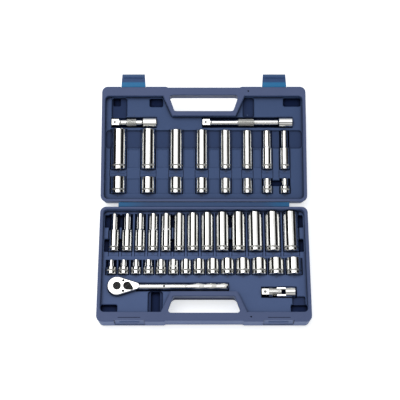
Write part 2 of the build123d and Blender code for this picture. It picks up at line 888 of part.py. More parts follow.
ear_offset = (joint_block / 2 + moving_gap + joint_radius) / 2
ear_thickness = joint_radius - joint_block / 2 - moving_gap


def square_yoke_part():
    """The end with the drive square; its ears stand above and below the block."""
    start = joint_across.offset(-joint_left)
    with BuildPart() as yoke:
        with BuildSketch(start):
            Rectangle(drive_square, drive_square)
        extrude(amount=joint_square_reach + 1)
        chamfer(tip_edges(yoke.part, start), socket_chamfer)
        with BuildSketch(joint_across.offset(joint_square_reach - joint_left)):
            Circle(joint_radius)
        extrude(amount=joint_left - joint_square_reach - joint_yoke_face)
        with BuildSketch(joint_across.offset(-joint_yoke_face)):
            with Locations((0, ear_offset), (0, -ear_offset)):
                Rectangle(ear_width, ear_thickness)
            Circle(joint_radius, mode=Mode.INTERSECT)
        extrude(amount=joint_yoke_face + ear_reach)
        with BuildSketch(Plane(origin=joint_across.origin)):
            Circle(joint_pin + running_gap)
        extrude(amount=2 * joint_radius, both=True, mode=Mode.SUBTRACT)
        with BuildSketch(ball_seat(start, joint_square_reach / 2)):
            Circle(ball_radius + running_gap)
        extrude(amount=drive_square, mode=Mode.SUBTRACT)
    return yoke.part


def socket_yoke_part():
    """The end with the drive socket; its ears stand on either side of the block."""
    with BuildPart() as yoke:
        with BuildSketch(joint_across.offset(joint_yoke_face)):
            Circle(joint_socket_radius)
        extrude(amount=joint_right - joint_yoke_face)
        chamfer(yoke.faces().sort_by(Axis.X)[-1].edges(), socket_chamfer)
        with BuildSketch(joint_across.offset(-ear_reach)):
            with Locations((ear_offset, 0), (-ear_offset, 0)):
                Rectangle(ear_thickness, ear_width)
            Circle(joint_radius, mode=Mode.INTERSECT)
        extrude(amount=joint_yoke_face + ear_reach)
        with BuildSketch(Plane.XZ.offset(-joint_y)):
            with Locations((joint_centre_x, joint_z)):
                Circle(joint_pin + running_gap)
        extrude(amount=2 * joint_radius, both=True, mode=Mode.SUBTRACT)
        with BuildSketch(joint_across.offset(joint_right)):
            Rectangle(drive_square + drive_square_gap, drive_square + drive_square_gap)
        extrude(amount=-drive_square_depth, mode=Mode.SUBTRACT)
    return yoke.part


def joint_block_part():
    """The cube in the middle, bored both ways for the pins."""
    bore = joint_pin + running_gap
    with BuildPart() as block:
        with BuildSketch(joint_across.offset(-joint_block / 2)):
            Rectangle(joint_block, joint_block)
        extrude(amount=joint_block)
        fillet(block.edges(), joint_block_round)
        with BuildSketch(Plane(origin=joint_across.origin)):
            Circle(bore)
        extrude(amount=joint_block, both=True, mode=Mode.SUBTRACT)
        with BuildSketch(Plane.XZ.offset(-joint_y)):
            with Locations((joint_centre_x, joint_z)):
                Circle(bore)
        extrude(amount=joint_block, both=True, mode=Mode.SUBTRACT)
    return block.part


def upright_pin_part():
    with BuildPart() as pin:
        with BuildSketch(Plane(origin=joint_across.origin)):
            Circle(joint_pin)
        extrude(amount=joint_radius - moving_gap, both=True)
    return pin.part


def cross_pin_parts():
    """The cross pin is in two halves, one each side of the upright pin."""
    reach = joint_radius - moving_gap
    with BuildPart() as pins:
        with BuildSketch(Plane.XZ.offset(-joint_y + joint_pin + moving_gap)):
            with Locations((joint_centre_x, joint_z)):
                Circle(joint_pin)
        extrude(amount=reach - joint_pin - moving_gap)
        with BuildSketch(Plane.XZ.offset(-joint_y - joint_pin - moving_gap)):
            with Locations((joint_centre_x, joint_z)):
                Circle(joint_pin)
        extrude(amount=-(reach - joint_pin - moving_gap))
    return pins.part


keep(square_yoke_part(), "joint_square_yoke")
keep(socket_yoke_part(), "joint_socket_yoke")
keep(joint_block_part(), "joint_block")
keep(upright_pin_part(), "joint_upright_pin")
keep(cross_pin_parts(), "joint_cross_pins")
keep(retaining_ball(ball_place(joint_across.offset(-joint_left), joint_square_reach / 2)), "joint_ball")
base_beds.append((
    joint_across.offset(-joint_left - bed_gap),
    joint_left + joint_right + bed_gap + joint_end_room,
    joint_socket_radius + rest_gap,
    1,
))


# ---- hinge web ----
def hinge_web_part():
    """The stiff strip between the two fold lines, rounded round each fold, with a shallow valley along it."""
    along = lid_fold - base_fold
    across = Plane(origin=base_fold - Vector(web_length / 2, 0, 0), x_dir=along, z_dir=(1, 0, 0))
    with BuildPart() as web:
        with BuildSketch(across):
            with Locations((fold_span / 2, 0)):
                SlotCenterToCenter(fold_span, web_thickness)
            with Locations((fold_span / 2, web_thickness / 2)):
                side = fold_span * valley_side
                Triangle(c=fold_span * valley_width, a=side, b=side, rotation=180,
                         align=(Align.CENTER, Align.MAX), mode=Mode.SUBTRACT)
        extrude(amount=web_length)
    return web.part


# ---- latches ----
latch_fold_y = half_depth - root_recess + moving_gap + latch_thickness / 2
latch_fold_z = half_height - latch_drop
catch_wall_y = half_depth - catch_recess


def latch_part(x):
    """A latch flap standing straight out from the lid, hook side up, with a curled finger lip at its tip."""
    reach = half_depth + latch_reach - latch_fold_y
    round_root = latch_thickness / 2
    flap = place(lid_frame, x, latch_fold_y, latch_fold_z - round_root, (0, 0, 1), (1, 0, 0))
    side = place(lid_frame, x - latch_root_width / 2, latch_fold_y, latch_fold_z, (1, 0, 0), (0, 1, 0))
    hook_far = catch_ridge_drop + catch_ridge + closed_gap + latch_drop + moving_gap
    with BuildPart() as latch:
        with BuildSketch(flap):
            Polygon(
                (-latch_root_width / 2, 0),
                (latch_root_width / 2, 0),
                (latch_tip_width / 2, reach),
                (-latch_tip_width / 2, reach),
                align=None,
            )
        extrude(amount=latch_thickness)
        with BuildSketch(side):
            Circle(round_root)
        extrude(amount=latch_root_width)
        with BuildSketch(side.offset((latch_root_width - catch_ridge_width) / 2)):
            Polygon(
                (hook_far, round_root - hook_foot),
                (hook_far, round_root + hook_depth),
                (hook_far + hook_width / 2, round_root + hook_depth),
                (hook_far + hook_width, round_root - hook_foot),
                align=None,
            )
        extrude(amount=catch_ridge_width)
        with BuildSketch(side.offset((latch_root_width - latch_tip_width) / 2)):
            Polygon(
                (reach - latch_thickness, -round_root),
                (reach, -round_root),
                (reach + lip_height / 4, -round_root - lip_height),
                (reach - latch_thickness / 2, -round_root - lip_height),
                align=None,
            )
        extrude(amount=latch_tip_width)
    return latch.part


def catch_recesses(frame, side):
    """The shallow bays in a half's front wall behind the latches. The base's are deeper and taller."""
    if side == base_side:
        inward, width, tall = catch_recess, catch_width, catch_height
    else:
        inward, width, tall = root_recess, latch_root_width + 4 * moving_gap, root_bay_height * latch_drop
    with BuildPart() as bays:
        with BuildSketch(frame.offset(half_height - tall)):
            with Locations(*[(n * latch_x, front_y(side, inward - bay_cutter / 2)) for n in (-1, 1)]):
                Rectangle(width, bay_cutter)
        extrude(amount=tall + 1)
    return bays.part


def catch_ridges():
    """The ridges on the base that the latches hook behind."""
    top = half_height - catch_ridge_drop
    stand = catch_wall_y + catch_ridge_stand
    with BuildPart() as ridges:
        for n in (-1, 1):
            with BuildSketch(Plane.YZ.offset(n * latch_x - catch_ridge_width / 2)):
                Polygon(
                    (-catch_wall_y + 1, top),
                    (-catch_wall_y, top),
                    (-stand, top - catch_ridge / 2),
                    (-stand, top - catch_ridge),
                    (-catch_wall_y + 1, top - catch_ridge),
                    align=None,
                )
            extrude(amount=catch_ridge_width)
    return ridges.part


# ---- the halves, with their beds and wells ----
def ratchet_bed():
    """The head's teardrop bed and the deeper well for its drive square."""
    big, small = head_outline(-bed_gap)
    with BuildPart() as bed:
        with BuildSketch(at_drive(head_bottom - rest_gap)):
            Circle(big)
            with Locations((neck_reach, 0)):
                Circle(small)
            make_hull()
        extrude(amount=head_thickness)
        with BuildSketch(at_drive(drive_tip - rest_gap)):
            Circle(drive_well)
        extrude(amount=half_height)
    return bed.part


def panel_steps(frame, strips):
    """Shallow bevelled steps in a panel. Each strip is (x, y, width, reach)."""
    with BuildPart() as steps:
        with BuildSketch(frame.offset(panel_z)):
            for x, y, width, reach in strips:
                with Locations((x, y)):
                    Rectangle(width, reach)
        extrude(amount=-panel_step, taper=bevel_angle)
    return steps.part


def sunk_label_field(frame, side):
    """The shallow field for a label in the outside of a half."""
    with BuildPart() as field:
        with BuildSketch(frame.offset(outer_face[side])):
            with Locations((0, label_field_y)):
                RectangleRounded(*label_field, label_field_corner)
        extrude(amount=label_field_sink, taper=bevel_angle)
    return field.part


def vent(frame, side):
    """The small blowing hole in the front rim, down into the air space."""
    with BuildPart() as hole:
        with BuildSketch(frame.offset(half_height)):
            with Locations((vent_x, front_y(side, vent_from_front))):
                Circle(vent_radius)
        extrude(amount=-half_height / 2)
    return hole.part


def between(row, ods, index):
    """Middle of the gap after one socket of a row."""
    return (row[index] + body_od(ods[index]) / 2 + row[index + 1] - body_od(ods[index + 1]) / 2) / 2


drive_well = drive_square * square_depth
deep_ods = [metric_od[size] for size in deep_metric]
deep_places = row_places(deep_ods, deep_row_gap)
tray_front = front_y(base_side, rim_front)
corner_y = tray_front + corner_well_depth / 2
corner_x = tray_half - corner_well / 2
end_wells_y = (deep_row_y + end_well_depth / 2, deep_row_y + largest_deep - end_well_back - end_well_depth / 2)
finger_well_top = ratchet_y - grip_radius
finger_well_y = (tray_front + finger_well_top) / 2
finger_well_depth = finger_well_top - tray_front
channel_top = joint_y - joint_radius
channel_y = (tray_front + corner_well_depth + channel_top) / 2
channel_depth = channel_top - tray_front - corner_well_depth + 2

base_wells = [
    (corner_x, corner_y, corner_well, corner_well_depth, half_height - deep_well),
    (-corner_x, corner_y, corner_well, corner_well_depth, half_height - deep_well),
    (corner_x, channel_y, joint_channel, channel_depth, half_height - shallow_well),
    (finger_well_x, finger_well_y, finger_well_width, finger_well_depth, half_height - shallow_well),
    (finger_well_x, finger_well_y, finger_well_inner, finger_well_depth, half_height - finger_well_floor),
]
for y in end_wells_y:
    for x in (-tray_half + end_well_inset + end_well / 2, tray_half - end_well_inset - end_well / 2):
        base_wells.append((x, y, end_well, end_well_depth, half_height - end_well_sink))
    for index in (0, 4, 8):
        x = between(deep_places, deep_ods, index)
        base_wells.append((x, y, deep_row_gap + 1, end_well_depth, half_height - end_well_sink))

ratchet_left_bed = ratchet_left - bed_gap
head_room = ratchet_drive_x + neck_reach + neck_radius + bed_gap - ratchet_left_bed
ratchet_room = [
    (ratchet_left_bed + head_room / 2, ratchet_y, head_room, 2 * (head_radius + bed_gap), head_bottom - rest_gap),
    (ratchet_drive_x, ratchet_y, 2 * drive_well, 2 * drive_well, drive_tip - rest_gap),
]
neck_x = ratchet_drive_x + neck_reach
base_beds.append((
    along_x(base_frame, neck_x, ratchet_y, grip_axis_z),
    grip_end + bed_gap - neck_x,
    grip_radius + rest_gap,
    1,
))

lid_row = lid_row_places()
lid_front = front_y(lid_side, rim_front)


def front_well(x, width, reach, floor, gap=lid_well_gap):
    """A well in the lid, set in from the tray's front wall by a gap."""
    return x, lid_front - gap - reach / 2, width, reach, half_height - floor


lid_wells = [
    (0, lid_hinge_edge + lid_trough_start + lid_trough_width / 2, 2 * (tray_half - bed_gap), lid_trough_width,
     half_height - lid_trough_floor),
    front_well(tray_half - lid_corner_inset - lid_corner_well[0] / 2, *lid_corner_well, deep_well),
    front_well(*lid_handle_well, deep_well, lid_handle_well_gap),
    front_well(*lid_left_channel, shallow_well),
    front_well(*lid_left_pit, finger_well_floor),
    front_well(*lid_right_channel, shallow_well),
    ((lid_row[-1] + lid_row[-2]) / 2, lid_hinge_edge + lid_link_start + lid_link_reach / 2,
     lid_row[-1] - lid_row[-2], lid_link_reach, half_height - deep_well),
]

lid_strips = []
inch_ods = list(inch_od.values())
for index in range(len(lid_row) - 2):
    width = lid_row[index + 1] - lid_row[index] - (body_od(inch_ods[index]) + body_od(inch_ods[index + 1])) / 2
    for start, stop in step_bands:
        lid_strips.append((between(lid_row, inch_ods, index), lid_hinge_edge + (start + stop) / 2,
                           width - 2 * (rest_gap + step_margin), stop - start))

base_body = case_body(base_frame, base_side)
base_space = tray_space(base_frame, base_side, base_beds, base_wells)
base_air = hollow(base_frame, base_side, base_beds, base_wells + ratchet_room)
base_bays = catch_recesses(base_frame, base_side)
base_ridges = catch_ridges()
base_vent = vent(base_frame, base_side)
head_bed = ratchet_bed()
with BuildPart() as base_shell:
    add(base_body)
    add([base_space, head_bed, base_air, base_bays, base_vent], mode=Mode.SUBTRACT)
    add(base_ridges)
keep(base_shell.part, "base_shell")

lid_body = case_body(lid_frame, lid_side)
lid_space = tray_space(lid_frame, lid_side, lid_beds, lid_wells)
lid_air = hollow(lid_frame, lid_side, lid_beds, lid_wells)
lid_bays = catch_recesses(lid_frame, lid_side)
lid_vent = vent(lid_frame, lid_side)
lid_steps = panel_steps(lid_frame, lid_strips)
lid_label_field = sunk_label_field(lid_frame, lid_side)
with BuildPart() as lid_shell:
    add(lid_body)
    add([lid_space, lid_air, lid_bays, lid_vent, lid_steps, lid_label_field], mode=Mode.SUBTRACT)
keep(lid_shell.part, "lid_shell")

keep(hinge_web_part(), "hinge_web")
keep(latch_part(-latch_x), "latch_left")
keep(latch_part(latch_x), "latch_right")
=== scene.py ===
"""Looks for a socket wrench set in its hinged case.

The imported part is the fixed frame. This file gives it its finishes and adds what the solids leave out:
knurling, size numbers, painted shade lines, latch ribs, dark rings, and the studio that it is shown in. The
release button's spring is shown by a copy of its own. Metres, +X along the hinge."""

import functools
import json
import math

import bmesh
import bpy
from bpy.props import FloatProperty, FloatVectorProperty, IntProperty, PointerProperty
from mathutils import Matrix, Vector


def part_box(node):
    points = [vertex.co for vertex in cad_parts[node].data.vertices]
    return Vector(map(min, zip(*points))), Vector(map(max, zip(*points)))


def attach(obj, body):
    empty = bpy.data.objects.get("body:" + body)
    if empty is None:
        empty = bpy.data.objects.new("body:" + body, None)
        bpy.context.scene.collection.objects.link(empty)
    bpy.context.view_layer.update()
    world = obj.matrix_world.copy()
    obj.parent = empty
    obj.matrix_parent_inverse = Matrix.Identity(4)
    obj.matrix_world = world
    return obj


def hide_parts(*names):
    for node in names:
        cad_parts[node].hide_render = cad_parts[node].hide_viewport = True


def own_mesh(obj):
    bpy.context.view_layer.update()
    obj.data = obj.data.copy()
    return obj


bl_info = {
    "name": "Socket Wrench Set",
    "version": (1, 0, 0),
    "blender": (4, 5, 0),
    "location": "3D Viewport > Sidebar > Socket Set",
    "description": "Finishes, knurling, raised size numbers and a studio for a socket wrench set in its case",
    "category": "Object",
}

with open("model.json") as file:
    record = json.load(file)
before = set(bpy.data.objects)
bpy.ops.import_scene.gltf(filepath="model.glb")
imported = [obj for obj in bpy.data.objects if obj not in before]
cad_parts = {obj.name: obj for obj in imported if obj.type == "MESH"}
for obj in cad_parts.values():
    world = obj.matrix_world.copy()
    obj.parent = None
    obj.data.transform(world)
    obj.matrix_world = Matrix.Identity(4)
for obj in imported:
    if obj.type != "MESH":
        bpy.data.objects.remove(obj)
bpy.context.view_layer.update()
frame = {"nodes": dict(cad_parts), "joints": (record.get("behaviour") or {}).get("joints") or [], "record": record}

MM = 0.001
NODES = frame["nodes"]
BODY_OF = {node: body for body, nodes in frame["record"]["behaviour"]["bodies"].items() for node in nodes}
DEEP_SOCKETS = [node for node in NODES if node.startswith("deep_socket_")]
SHALLOW_SOCKETS = [node for node in NODES if node.startswith("socket_")]
INCH_SET = "sockets_shallow_inch"
SIDES = ("base", "lid")

# ---- the two case halves, each with a frame of its own: rim up, y = 0 halfway between hinge and front ----
HALF_DEPTH = 98.5 * MM
HALF_HEIGHT = 34 * MM
PANEL = 23 * MM
LID_TILT = math.radians(13.4)
FOLD_OUT, FOLD_DROP = 1.6 * MM, 2.8 * MM
LATCH_REACH = 21.6 * MM
lid_fold = Vector(next(joint for joint in frame["joints"] if joint["name"] == "lid_fold")["pos_m"])
BASE = Matrix.Identity(4)
LID = (Matrix.Translation(lid_fold) @ Matrix.Rotation(LID_TILT, 4, "X")
       @ Matrix.Translation((0, HALF_DEPTH + FOLD_OUT, FOLD_DROP - HALF_HEIGHT)))

# ---- where a half's pockets can lie, in its own frame: within its walls and clear of its handle slot ----
INNER_SIDE, INNER_FRONT, INNER_BACK, OUTER_FACE = 168 * MM, 84 * MM, -95.3 * MM, 1.5 * MM
INNER_CORNER = 257.8 * MM  # x and y together, halfway between a tray corner and the outer one
SLOT_HALF, SLOT_START = 64 * MM, 54.5 * MM
POCKET_FADE, RIM_FADE = 6 * MM, 2 * MM

# ---- shades of the plastic, with the painted shade in its pockets and shut-in corners ----
MOTTLE_SHARE, SCUFF_SHARE, LATCH_SCUFF_SHARE, POCKET_SHADE_SHARE = 0.16, 0.1, 0.15, 0.88
SHUT_IN = (  # how far it looks round a point, the openness where the shade is full and gone, and its share
    (7 * MM, 0.3, 0.9, 0.95),
    (1.6 * MM, 0.55, 0.92, 0.85),
)
WEB_MIDDLE, WEB_END = 88 * MM, 140 * MM  # where the painted backlight blue of the hinge's ends starts and is full

# ---- small things that more than one piece has ----
FOOT, BEAD_FOOT, BAND_FOOT = 0.2 * MM, 0.1 * MM, 0.15 * MM  # how far pads, beads and bands are sunk
BEAD_STEPS, WELD = 6, 0.01 * MM
BALL_STAND, BALL_RING, BALL_RING_WIDTH, BALL_RING_RISE = 0.6 * MM, 1.9 * MM, 0.7 * MM, 0.1 * MM
ETCHING_THICKNESS, ETCHING_STAND = 0.04 * MM, 0.015 * MM


def half_of(node):
    """The case half that a piece belongs to, as that half's own frame."""
    in_lid = node.endswith("in") or node == INCH_SET or "extension" in node or "latch" in node
    return LID if in_lid else BASE


def local_box(node, near_x=None, within=14 * MM):
    """A node's lowest and highest corner in its own half's frame, or that of the one solid near x."""
    to_half = half_of(node).inverted()
    points = [to_half @ vertex.co for vertex in NODES[node].data.vertices]
    if near_x is not None:
        points = [p for p in points if abs(p.x - near_x) < within]
    low = Vector(min(p[axis] for p in points) for axis in range(3))
    high = Vector(max(p[axis] for p in points) for axis in range(3))
    return low, high


# ---- meshes and pieces ----
def new_object(name, mesh):
    piece = bpy.data.objects.new(name, mesh)
    bpy.context.scene.collection.objects.link(piece)
    return piece


def settled(build, name):
    """A mesh from a BMesh, which is then freed."""
    mesh = bpy.data.meshes.new(name)
    build.to_mesh(mesh)
    build.free()
    return mesh


def evaluated(source):
    """The mesh that an object comes to, once the object itself is dropped."""
    depsgraph = bpy.context.evaluated_depsgraph_get()
    mesh = bpy.data.meshes.new_from_object(source.evaluated_get(depsgraph), depsgraph=depsgraph)
    bpy.data.objects.remove(source)
    return mesh


def joined(name, meshes):
    """One mesh object from several meshes, which are then dropped."""
    whole = bmesh.new()
    for mesh in meshes:
        whole.from_mesh(mesh)
        bpy.data.meshes.remove(mesh)
    return new_object(name, settled(whole, name))


def dress(piece, material, body):
    """Gives a new piece its material and the body that carries it."""
    piece.data.materials.clear()
    piece.data.materials.append(material)
    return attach(piece, body)


def dress_side(side, label, meshes, finish):
    """Joins meshes into one plastic piece that the base or the lid carries."""
    piece = joined(f"{side}_{label}", meshes)
    return dress(piece, material(finish), BODY_OF[f"{side}_shell"])


def finish_nodes(material, *nodes):
    """Paints CAD nodes whose shapes stay as they are."""
    for node in nodes:
        for index in range(max(1, len(NODES[node].material_slots))):
            if not NODES[node].material_slots:
                NODES[node].data.materials.append(material)
            NODES[node].material_slots[index].link = "OBJECT"
            NODES[node].material_slots[index].material = material


def turned(name, place, profile, half=BASE, steps=40):
    """A closed ring round a half's upright through a place in it, from a closed (radius, height) outline."""
    ring = bmesh.new()
    rows = []
    for step in range(steps):
        turn = 2 * math.pi * step / steps
        offsets = [Vector((r * math.cos(turn), r * math.sin(turn), z)) for r, z in profile]
        rows.append([ring.verts.new(half @ (Vector(place) + offset)) for offset in offsets])
    for first, second in zip(rows, rows[1:] + rows[:1]):
        for index in range(len(profile)):
            after = (index + 1) % len(profile)
            ring.faces.new((first[index], first[after], second[after], second[index]))
    bmesh.ops.recalc_face_normals(ring, faces=ring.faces)
    return settled(ring, name)


def bead(radius, width, rise):
    """The outline of a low rounded ring for turned(): its foot is sunk a little."""
    turns = [math.pi * step / BEAD_STEPS for step in range(BEAD_STEPS + 1)]
    arc = [(radius + width / 2 * math.cos(turn), rise * math.sin(turn)) for turn in turns]
    return arc + [(radius - width / 2, -BEAD_FOOT), (radius + width / 2, -BEAD_FOOT)]


def bevelled_pad(half, low, high, rise):
    """A low pad on a half's panel, its edges sloped at 45 degrees, between two (x, y) corners of its foot."""
    pad = bmesh.new()
    rings = []
    for inset, height in ((0, -FOOT), (0, 0), (rise, rise)):
        corners = ((low[0] + inset, low[1] + inset), (high[0] - inset, low[1] + inset),
                   (high[0] - inset, high[1] - inset), (low[0] + inset, high[1] - inset))
        rings.append([pad.verts.new(half @ Vector((x, y, PANEL + height))) for x, y in corners])
    for lower, upper in zip(rings, rings[1:]):
        for index in range(4):
            after = (index + 1) % 4
            pad.faces.new((lower[index], lower[after], upper[after], upper[index]))
    pad.faces.new(rings[-1])
    pad.faces.new(reversed(rings[0]))
    return settled(pad, "pad")


# ---- shader groups ----
def node_tree(name, inputs, outputs, kind="ShaderNodeTree"):
    """A node group from its sockets' labels, each with its default or, if it has none, its type."""
    group = bpy.data.node_groups.new(name, kind)
    for direction, sockets in (("INPUT", inputs), ("OUTPUT", outputs)):
        for label, default in sockets.items():
            plain_type = isinstance(default, str)
            kind_of = default if plain_type else {int: "Int", float: "Float"}[type(default)]
            socket = group.interface.new_socket(label, in_out=direction, socket_type=f"NodeSocket{kind_of}")
            if not plain_type:
                socket.default_value = default
    start, end = group.nodes.new("NodeGroupInput"), group.nodes.new("NodeGroupOutput")
    return group, start.outputs, end


def made_once(name):
    """For a node group's maker: the group is made on the first call, and found by its name after that."""
    def wrap(make):
        @functools.wraps(make)
        def find_or_make():
            return bpy.data.node_groups.get(name) or make(name)
        return find_or_make
    return wrap


def plug(tree, node, **inputs):
    """Sets a node's inputs to plain values or links them to other sockets. i2 is the input at index 2."""
    for key, value in inputs.items():
        by_index = key[0] == "i" and key[1:].isdigit()
        socket = node.inputs[int(key[1:]) if by_index else key.replace("_", " ")]
        if isinstance(value, bpy.types.NodeSocket):
            tree.links.new(value, socket)
        else:
            socket.default_value = value
    return node


def add_node(tree, kind, settings=None, **inputs):
    """A node with its settings and its inputs."""
    node = tree.nodes.new(kind)
    for key, value in (settings or {}).items():
        setattr(node, key, value)
    return plug(tree, node, **inputs)


def math_node(tree, operation, *values):
    """A Math node's result."""
    inputs = {f"i{index}": value for index, value in enumerate(values)}
    return add_node(tree, "ShaderNodeMath", {"operation": operation}, **inputs).outputs[0]


def ranged(tree, value, first=0.0, last=1.0, to=(0.0, 1.0), curve="LINEAR"):
    """A value carried from one range to another, and held at its ends."""
    return add_node(tree, "ShaderNodeMapRange", {"interpolation_type": curve}, Value=value, From_Min=first,
                    From_Max=last, To_Min=to[0], To_Max=to[1]).outputs[0]


def noise(tree, vector, scale, detail, **inputs):
    """A Noise Texture node's value."""
    texture = add_node(tree, "ShaderNodeTexNoise", Vector=vector, Scale=scale, Detail=detail, **inputs)
    return texture.outputs[0]


def mixed(tree, share, first, second):
    """Two colours mixed by a mask. Each is a socket, or a plain colour as red, green and blue."""
    first, second = (colour if isinstance(colour, bpy.types.NodeSocket) else (*colour[:3], 1.0)
                     for colour in (first, second))
    return add_node(tree, "ShaderNodeMix", {"data_type": "RGBA"}, i0=share, i6=first, i7=second).outputs[2]


def ramped(tree, value, stops):
    """A value's colour on a ramp with (place, colour) stops."""
    ramp = add_node(tree, "ShaderNodeValToRGB", Fac=value)
    while len(ramp.color_ramp.elements) < len(stops):
        ramp.color_ramp.elements.new(0.5)
    for element, (place, colour) in zip(ramp.color_ramp.elements, stops):
        element.position, element.color = place, (*colour, 1.0)
    return ramp.outputs[0]


@made_once("Moulded Grain")
def moulded_grain(name):
    """Fine mould texture and broad mottling of a blow-moulded skin."""
    group, start, end = node_tree(name, {"Vector": "Vector", "Grain Scale": 1600.0, "Mottle Scale": 18.0},
                                  {"Height": "Float", "Mottle": "Float", "Scuffs": "Float"})
    vector = start["Vector"]
    stretched = add_node(group, "ShaderNodeMapping", Vector=vector, Scale=(1.0, 6.0, 6.0)).outputs[0]
    scratch = noise(group, stretched, 120.0, 6.0, Roughness=0.7)
    plug(group, end, Height=noise(group, vector, start["Grain Scale"], 3.0),
         Mottle=noise(group, vector, start["Mottle Scale"], 4.0), Scuffs=ranged(group, scratch, 0.6, 0.72))
    return group


@made_once("Pocket Depth")
def pocket_depth(name):
    """How far below the panel a point lies inside a case half, and how near it is to the rim's edge.

    Front is the way to the half's front along its own Y: -1 in the base and 1 in the lid. The outer walls,
    the outer face and the handle slot count as outside, where nothing is a pocket."""
    group, start, end = node_tree(name, {"Vector": "Vector", "Front": -1.0},
                                  {"Depth": "Float", "Rim": "Float"})
    calc = functools.partial(math_node, group)
    across, along, height = add_node(group, "ShaderNodeSeparateXYZ", Vector=start["Vector"]).outputs
    to_side = calc("ABSOLUTE", across)
    to_front = calc("MULTIPLY", along, start["Front"])
    to_corner = calc("ADD", to_side, calc("ABSOLUTE", along))
    outside = calc("MULTIPLY", calc("LESS_THAN", to_side, SLOT_HALF),
                   calc("GREATER_THAN", to_front, SLOT_START))
    for place, test, limit in (
            (to_corner, "GREATER_THAN", INNER_CORNER), (to_side, "GREATER_THAN", INNER_SIDE),
            (to_front, "GREATER_THAN", INNER_FRONT), (to_front, "LESS_THAN", INNER_BACK),
            (height, "LESS_THAN", OUTER_FACE)):
        outside = calc("MAXIMUM", outside, calc(test, place, limit))
    depth = ranged(group, height, PANEL, PANEL - POCKET_FADE, curve="SMOOTHSTEP")
    plug(group, end, Depth=calc("MULTIPLY", depth, calc("SUBTRACT", 1.0, outside)),
         Rim=ranged(group, height, HALF_HEIGHT - RIM_FADE, HALF_HEIGHT))
    return group


@made_once("Plate Marks")
def plate_marks(name):
    """Faint handling marks and the slight unevenness of a plated or blacked surface."""
    group, start, end = node_tree(name, {"Vector": "Vector", "Scale": 90.0, "Smooth": 0.05, "Rough": 0.16},
                                  {"Roughness": "Float", "Height": "Float", "Tarnish": "Float"})
    vector = start["Vector"]
    smear = noise(group, vector, start["Scale"], 4.0, Distortion=0.6)
    plug(group, end, Roughness=ranged(group, smear, 0.35, 0.7, (start["Smooth"], start["Rough"])),
         Height=noise(group, vector, 420.0, 2.0), Tarnish=noise(group, vector, 35.0, 3.0))
    return group


# ---- materials ----
def srgb(red, green, blue):
    """A colour given as 0 to 255, in the linear values that shaders take."""
    def linear(channel):
        share = channel / 255
        return share / 12.92 if share <= 0.04045 else ((share + 0.055) / 1.055) ** 2.4
    return (linear(red), linear(green), linear(blue), 1.0)


def new_material(name, **constants):
    """A material with a Principled shader and its plain constants. Returns (material, tree, shader)."""
    material = bpy.data.materials.new(name)
    material.use_nodes = True
    tree = material.node_tree
    return material, tree, plug(tree, tree.nodes["Principled BSDF"], **constants)


def object_place(tree):
    return add_node(tree, "ShaderNodeTexCoord").outputs["Object"]


def placed(tree, half):
    """Object coordinates in a case half's own frame."""
    place = half.inverted()
    return add_node(tree, "ShaderNodeMapping", Vector=object_place(tree), Location=place.to_translation(),
                    Rotation=place.to_euler()).outputs[0]


def grouped(tree, group, **inputs):
    """The outputs of a node group placed in a material."""
    return add_node(tree, "ShaderNodeGroup", {"node_tree": group}, **inputs).outputs


def surfaced(tree, shader, colour, roughness, relief, distance, strength):
    """Gives a shader its colour, its roughness and a relief that is at most distance high."""
    bump = add_node(tree, "ShaderNodeBump", Height=relief, Distance=distance, Strength=strength)
    plug(tree, shader, Base_Color=colour, Roughness=roughness, Normal=bump.outputs[0])


def case_plastic(name, half, panel, colours):
    """Blue blow-moulded polyethylene: grained and mottled, with painted shade down in its pockets and in its
    shut-in corners, paler at the rim.
    """
    material, tree, shader = new_material(name)
    vector = placed(tree, half)
    grain = grouped(tree, moulded_grain(), Vector=vector)
    pocket = grouped(tree, pocket_depth(), Vector=vector, Front=1.0 if half == LID else -1.0)
    skin = mixed(tree, pocket["Rim"], panel, colours.rim)
    skin = mixed(tree, ranged(tree, grain["Mottle"], 0.3, 0.7, (0.0, MOTTLE_SHARE)), skin, colours.shade)
    skin = mixed(tree, math_node(tree, "MULTIPLY", grain["Scuffs"], SCUFF_SHARE), skin, colours.scuff)
    # painted shade: the pocket colour is mixed in the deeper a point lies below the panel
    skin = mixed(tree, math_node(tree, "MULTIPLY", pocket["Depth"], POCKET_SHADE_SHARE), skin, colours.pocket)
    # painted shade: ambient occlusion mixes in the corner colour in shut-in corners and at the feet of walls
    for reach, shut, clear, share in SHUT_IN:
        open_sky = add_node(tree, "ShaderNodeAmbientOcclusion", {"samples": 8}, Distance=reach).outputs["AO"]
        skin = mixed(tree, ranged(tree, open_sky, shut, clear, (share, 0.0)), skin, colours.corner)
    plug(tree, shader, Specular_IOR_Level=ranged(tree, pocket["Depth"], to=(0.22, 0.04)))
    surfaced(tree, shader, skin, ranged(tree, grain["Height"], to=(0.45, 0.65)), grain["Height"],
             0.12 * MM, 0.5)
    return material


def web_plastic(name, colours):
    """The hinge strip, with painted backlight: a clearer blue, as where light shines through its thin plastic,
    most of all at its ends.
    """
    material, tree, shader = new_material(name, Specular_IOR_Level=0.2)
    vector = object_place(tree)
    grain = grouped(tree, moulded_grain(), Vector=vector, Grain_Scale=900.0)
    across = add_node(tree, "ShaderNodeSeparateXYZ", Vector=vector).outputs[0]
    end = ranged(tree, math_node(tree, "ABSOLUTE", across), WEB_MIDDLE, WEB_END, curve="SMOOTHSTEP")
    share = math_node(tree, "MULTIPLY", end, ranged(tree, grain["Mottle"], 0.3, 0.7, (0.75, 1.0)))
    # painted backlight: towards the ends the strip is mixed into the clearer blue
    surfaced(tree, shader, mixed(tree, share, colours.web_middle, colours.web_backlit_end),
             ranged(tree, grain["Height"], to=(0.35, 0.5)), grain["Height"], 0.1 * MM, 0.4)
    return material


